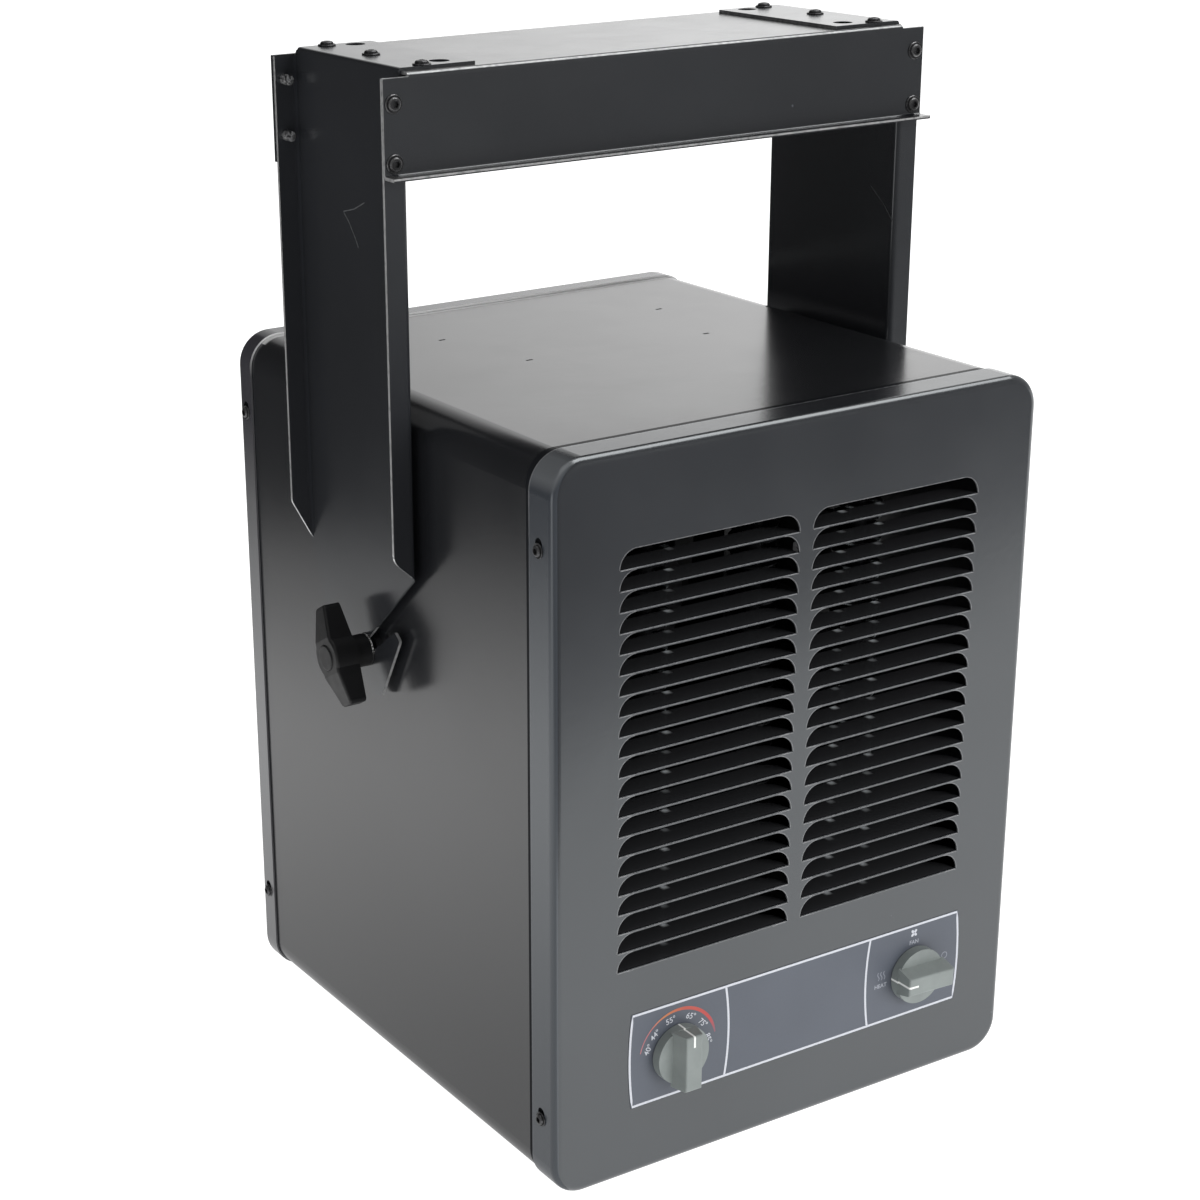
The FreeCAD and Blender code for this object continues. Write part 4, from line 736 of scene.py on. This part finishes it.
def lettering(name, text, x, z, size, turn, mat, bold=0.0):
    cu = bpy.data.curves.new(name, "FONT")
    cu.body = text
    cu.size = size * MM
    cu.align_x = "CENTER"
    cu.align_y = "CENTER"
    cu.extrude = INK_T
    cu.offset = bold * MM
    tmp = bpy.data.objects.new(name + "_tmp", cu)
    scene.collection.objects.link(tmp)
    bpy.context.view_layer.update()
    me = bpy.data.meshes.new_from_object(tmp.evaluated_get(bpy.context.evaluated_depsgraph_get()))
    bpy.data.objects.remove(tmp)
    rot = Matrix.Rotation(math.radians(turn), 4, "Y") @ Matrix.Rotation(math.radians(90), 4, "X")
    me.transform(Matrix.Translation((x * MM, FACE_Y, z * MM)) @ rot)
    me.materials.clear()
    me.materials.append(mat)
    me.name = name
    ob = bpy.data.objects.new(name, me)
    scene.collection.objects.link(ob)
    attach(ob, "cabinet")
    return ob


for text, ang in (("40°", -71), ("44°", -46.5), ("55°", -13.5), ("65°", 24.5), ("75°", 54), ("85°", 86)):
    a = math.radians(ang)
    lettering("scale_" + text[:2], text, TX + 18.4 * math.sin(a), TZ + 18.4 * math.cos(a), 4.3, ang * 0.86, mat_white, 0.02)
lettering("word_fan", "FAN", 78.9, 77.7, 3.2, 0, mat_soft, 0.05)
lettering("word_heat", "HEAT", 57.8, 58.6, 3.2, 0, mat_soft, 0.05)

# fan symbol: four petals
parts = []
for i in range(4):
    a0 = math.radians(45 + 90 * i)
    ca, sa = math.cos(a0), math.sin(a0)
    ring = []
    for j in range(14):
        b = 2 * math.pi * j / 14
        px, pz = 1.35 + 1.05 * math.cos(b), 0.78 * math.sin(b)
        ring.append((78.7 + px * ca - pz * sa, 82.9 + px * sa + pz * ca))
    v = flat(ring) + [p + OUT * INK_T for p in flat(ring)]
    f = [tuple(range(14)), tuple(range(27, 13, -1))] + [(j, (j + 1) % 14, 14 + (j + 1) % 14, 14 + j) for j in range(14)]
    parts.append((v, f))
mesh_piece("fan_symbol", *join_data(parts), mat_white, "cabinet")
# heat symbol: three rising waves
parts = []
for i in range(3):
    x0 = 56.2 + 1.9 * i
    parts.append(ribbon_data(flat([(x0 + 0.5 * math.sin(2 * math.pi * j / 12), 61.9 + 4.6 * j / 12) for j in range(13)]),
                             0.55 * MM, OUT, INK_T))
mesh_piece("heat_symbol", *join_data(parts), mat_faint, "cabinet")
# off symbol: ring, with a dot under it
ring = [(100.0 + 1.75 * math.cos(2 * math.pi * j / 28), 64.3 + 1.75 * math.sin(2 * math.pi * j / 28)) for j in range(28)]
dot = [(101.0 + 0.42 * math.cos(2 * math.pi * j / 12), 60.3 + 0.42 * math.sin(2 * math.pi * j / 12)) for j in range(12)]
v = flat(dot) + [p + OUT * INK_T for p in flat(dot)]
f = [tuple(range(12)), tuple(range(23, 11, -1))] + [(j, (j + 1) % 12, 12 + (j + 1) % 12, 12 + j) for j in range(12)]
mesh_piece("off_symbol", *join_data([ribbon_data(flat(ring), 0.5 * MM, OUT, INK_T, True), (v, f)]), mat_faint, "cabinet")


# faint scratches on the bracket arms
def scratch(name, pts, x, way, width):
    data = [Vector((x * MM, a * MM, b * MM)) for a, b in pts]
    run = []
    for a, b in zip(data, data[1:]):
        run += [a.lerp(b, i / 6) for i in range(6)]
    run.append(data[-1])
    n = len(run)
    wid = [width * MM * (0.35 + 0.65 * abs(math.sin(2.1 * i + 0.4))) for i in range(n)]
    mesh_piece(name, *ribbon_data(run, wid, Vector((way, 0, 0)), 0.02 * MM), mat_scratch, "bracket")


mat_scratch = ink("scratch_grey", (0.10, 0.105, 0.108))
scratch("arm_scratch_a", [(7.9, 455.7), (17.8, 451.3), (28.5, 448.6), (23.3, 444.4), (17.1, 437.0), (14.9, 433.6)], -144, -1, 0.5)
scratch("arm_scratch_c", [(-11.5, 436.1), (-22.2, 427.9), (-29.0, 420.9)], 142.5, -1, 0.4)

# ------------------------------------------------------------ floor and light

me = bpy.data.meshes.new("floor")
me.from_pydata([(-14, -14, 0), (14, -14, 0), (14, 14, 0), (-14, 14, 0)], [], [(0, 1, 2, 3)])
floor = bpy.data.objects.new("floor", me)
scene.collection.objects.link(floor)
k = Mat("floor_pale")
k.put(Base_Color=k.ramp(k.noise(1.2, 2.0), [(0.3, (0.49, 0.49, 0.49)), (0.7, (0.51, 0.51, 0.51))]), Roughness=0.9,
      Specular_IOR_Level=0.1, Emission_Color=(1.0, 1.0, 1.0, 1.0), Emission_Strength=1.06)
me.materials.append(k.m)

w = bpy.data.worlds.new("studio")
w.use_nodes = True
w.node_tree.nodes["Background"].inputs[0].default_value = (1.0, 1.0, 1.0, 1.0)
w.node_tree.nodes["Background"].inputs[1].default_value = 0.35
scene.world = w


def softbox(name, at, aim, sx, sy, power, shape="RECTANGLE"):
    li = bpy.data.lights.new(name, "AREA")
    li.shape = shape
    li.size = sx
    li.size_y = sy
    li.energy = power
    ob = bpy.data.objects.new(name, li)
    scene.collection.objects.link(ob)
    ob.location = at
    ob.rotation_euler = (Vector(aim) - Vector(at)).to_track_quat("-Z", "Y").to_euler()
    return ob


softbox("top_box", (0.0, 0.3, 3.2), (0.0, 0.3, 0.0), 5.0, 5.0, 24)
softbox("front_box", (1.3, -2.6, 1.1), (0.0, -0.1, 0.1), 2.2, 1.6, 48)


def card(name, corners, axis, a, b, low, high, turn=0.0):
    """Card outside the frame, seen only in the paint: its brightness runs
    from low to high between a and b along one of its own axes."""
    me = bpy.data.meshes.new(name)
    me.from_pydata([tuple(v) for v in corners], [], [(0, 1, 2, 3)])
    ob = bpy.data.objects.new(name, me)
    ob.rotation_euler = (0.0, 0.0, math.radians(turn))
    scene.collection.objects.link(ob)
    mt = bpy.data.materials.new(name)
    mt.use_nodes = True
    t = mt.node_tree
    t.nodes.clear()
    out = t.nodes.new("ShaderNodeOutputMaterial")
    em = t.nodes.new("ShaderNodeEmission")
    tc = t.nodes.new("ShaderNodeTexCoord")
    sp = t.nodes.new("ShaderNodeSeparateXYZ")
    mr = t.nodes.new("ShaderNodeMapRange")
    mr.interpolation_type = "SMOOTHSTEP"
    for i, v in enumerate((a, b, low, high)):
        mr.inputs[1 + i].default_value = v
    t.links.new(tc.outputs["Object"], sp.inputs[0])
    t.links.new(sp.outputs[axis], mr.inputs[0])
    t.links.new(mr.outputs[0], em.inputs["Strength"])
    t.links.new(em.outputs[0], out.inputs["Surface"])
    me.materials.append(mt)
    ob.visible_camera = False
    ob.visible_diffuse = False
    ob.visible_shadow = False
    ob.visible_transmission = False
    ob.visible_volume_scatter = False
    return ob


def upright(x0, y0, x1, y1, height):
    return [(x0, y0, 0.002), (x1, y1, 0.002), (x1, y1, height), (x0, y0, height)]


card("flag_left", upright(-1.09, -0.04, 0.035, 1.46, 1.3), 2, 0.0, 0.066, 0.46, 0.03)
card("flag_front", upright(1.72, -1.045, -0.78, -0.33, 1.3), 2, 0.0, 0.11, 0.55, 0.115)
card("card_back", upright(-0.65, 1.7, 2.9, 1.7, 1.7), 0, -0.6, 1.7, 0.05, 1.52)
card("card_strip", [(0.1, -0.95, 2.6), (2.4, -0.95, 2.6), (2.4, 0.7, 2.6), (0.1, 0.7, 2.6)], 0, 0.1, 2.4, 5.2, 4.6)


def strip_on_floor(a, b):
    return [(a, -1.7, 0.001), (b, -1.7, 0.001), (b, 1.1, 0.001), (a, 1.1, 0.001)]


card("floor_near", strip_on_floor(0.02, 0.52), 0, 0.05, 0.52, 0.60, 1.09, 143.13)
card("floor_far", strip_on_floor(0.52, 0.847), 0, 0.52, 0.92, 1.09, 0.46, 143.13)

# --------------------------------------------------------------------- camera

cam = bpy.data.cameras.new("camera")
cam.sensor_width = 36.0
cam.sensor_fit = "HORIZONTAL"
cam.lens = 2508.70 * 36.0 / 1200.0
cam.shift_x = (600.0 - 460.06) / 1200.0
cam.shift_y = (659.60 - 600.0) / 1200.0
cam.clip_start = 0.05
cam.clip_end = 60
cam_ob = bpy.data.objects.new("camera", cam)
scene.collection.objects.link(cam_ob)
right = Vector((0.85273532, -0.52210538, -0.01576232))
up = Vector((0.19645238, 0.29260556, 0.93583569))
back = Vector((-0.48399271, -0.80111669, 0.35208394))
mw = Matrix.Identity(4)
for i, col in enumerate((right, up, back)):
    for j in range(3):
        mw[j][i] = col[j]
mw.translation = Vector((-0.707373, -0.859926 - 0.143, 0.665012))
cam_ob.matrix_world = mw
scene.camera = cam_ob
scene.view_settings.view_transform = "Standard"
scene.view_settings.look = "None"

bpy.context.view_layer.update()
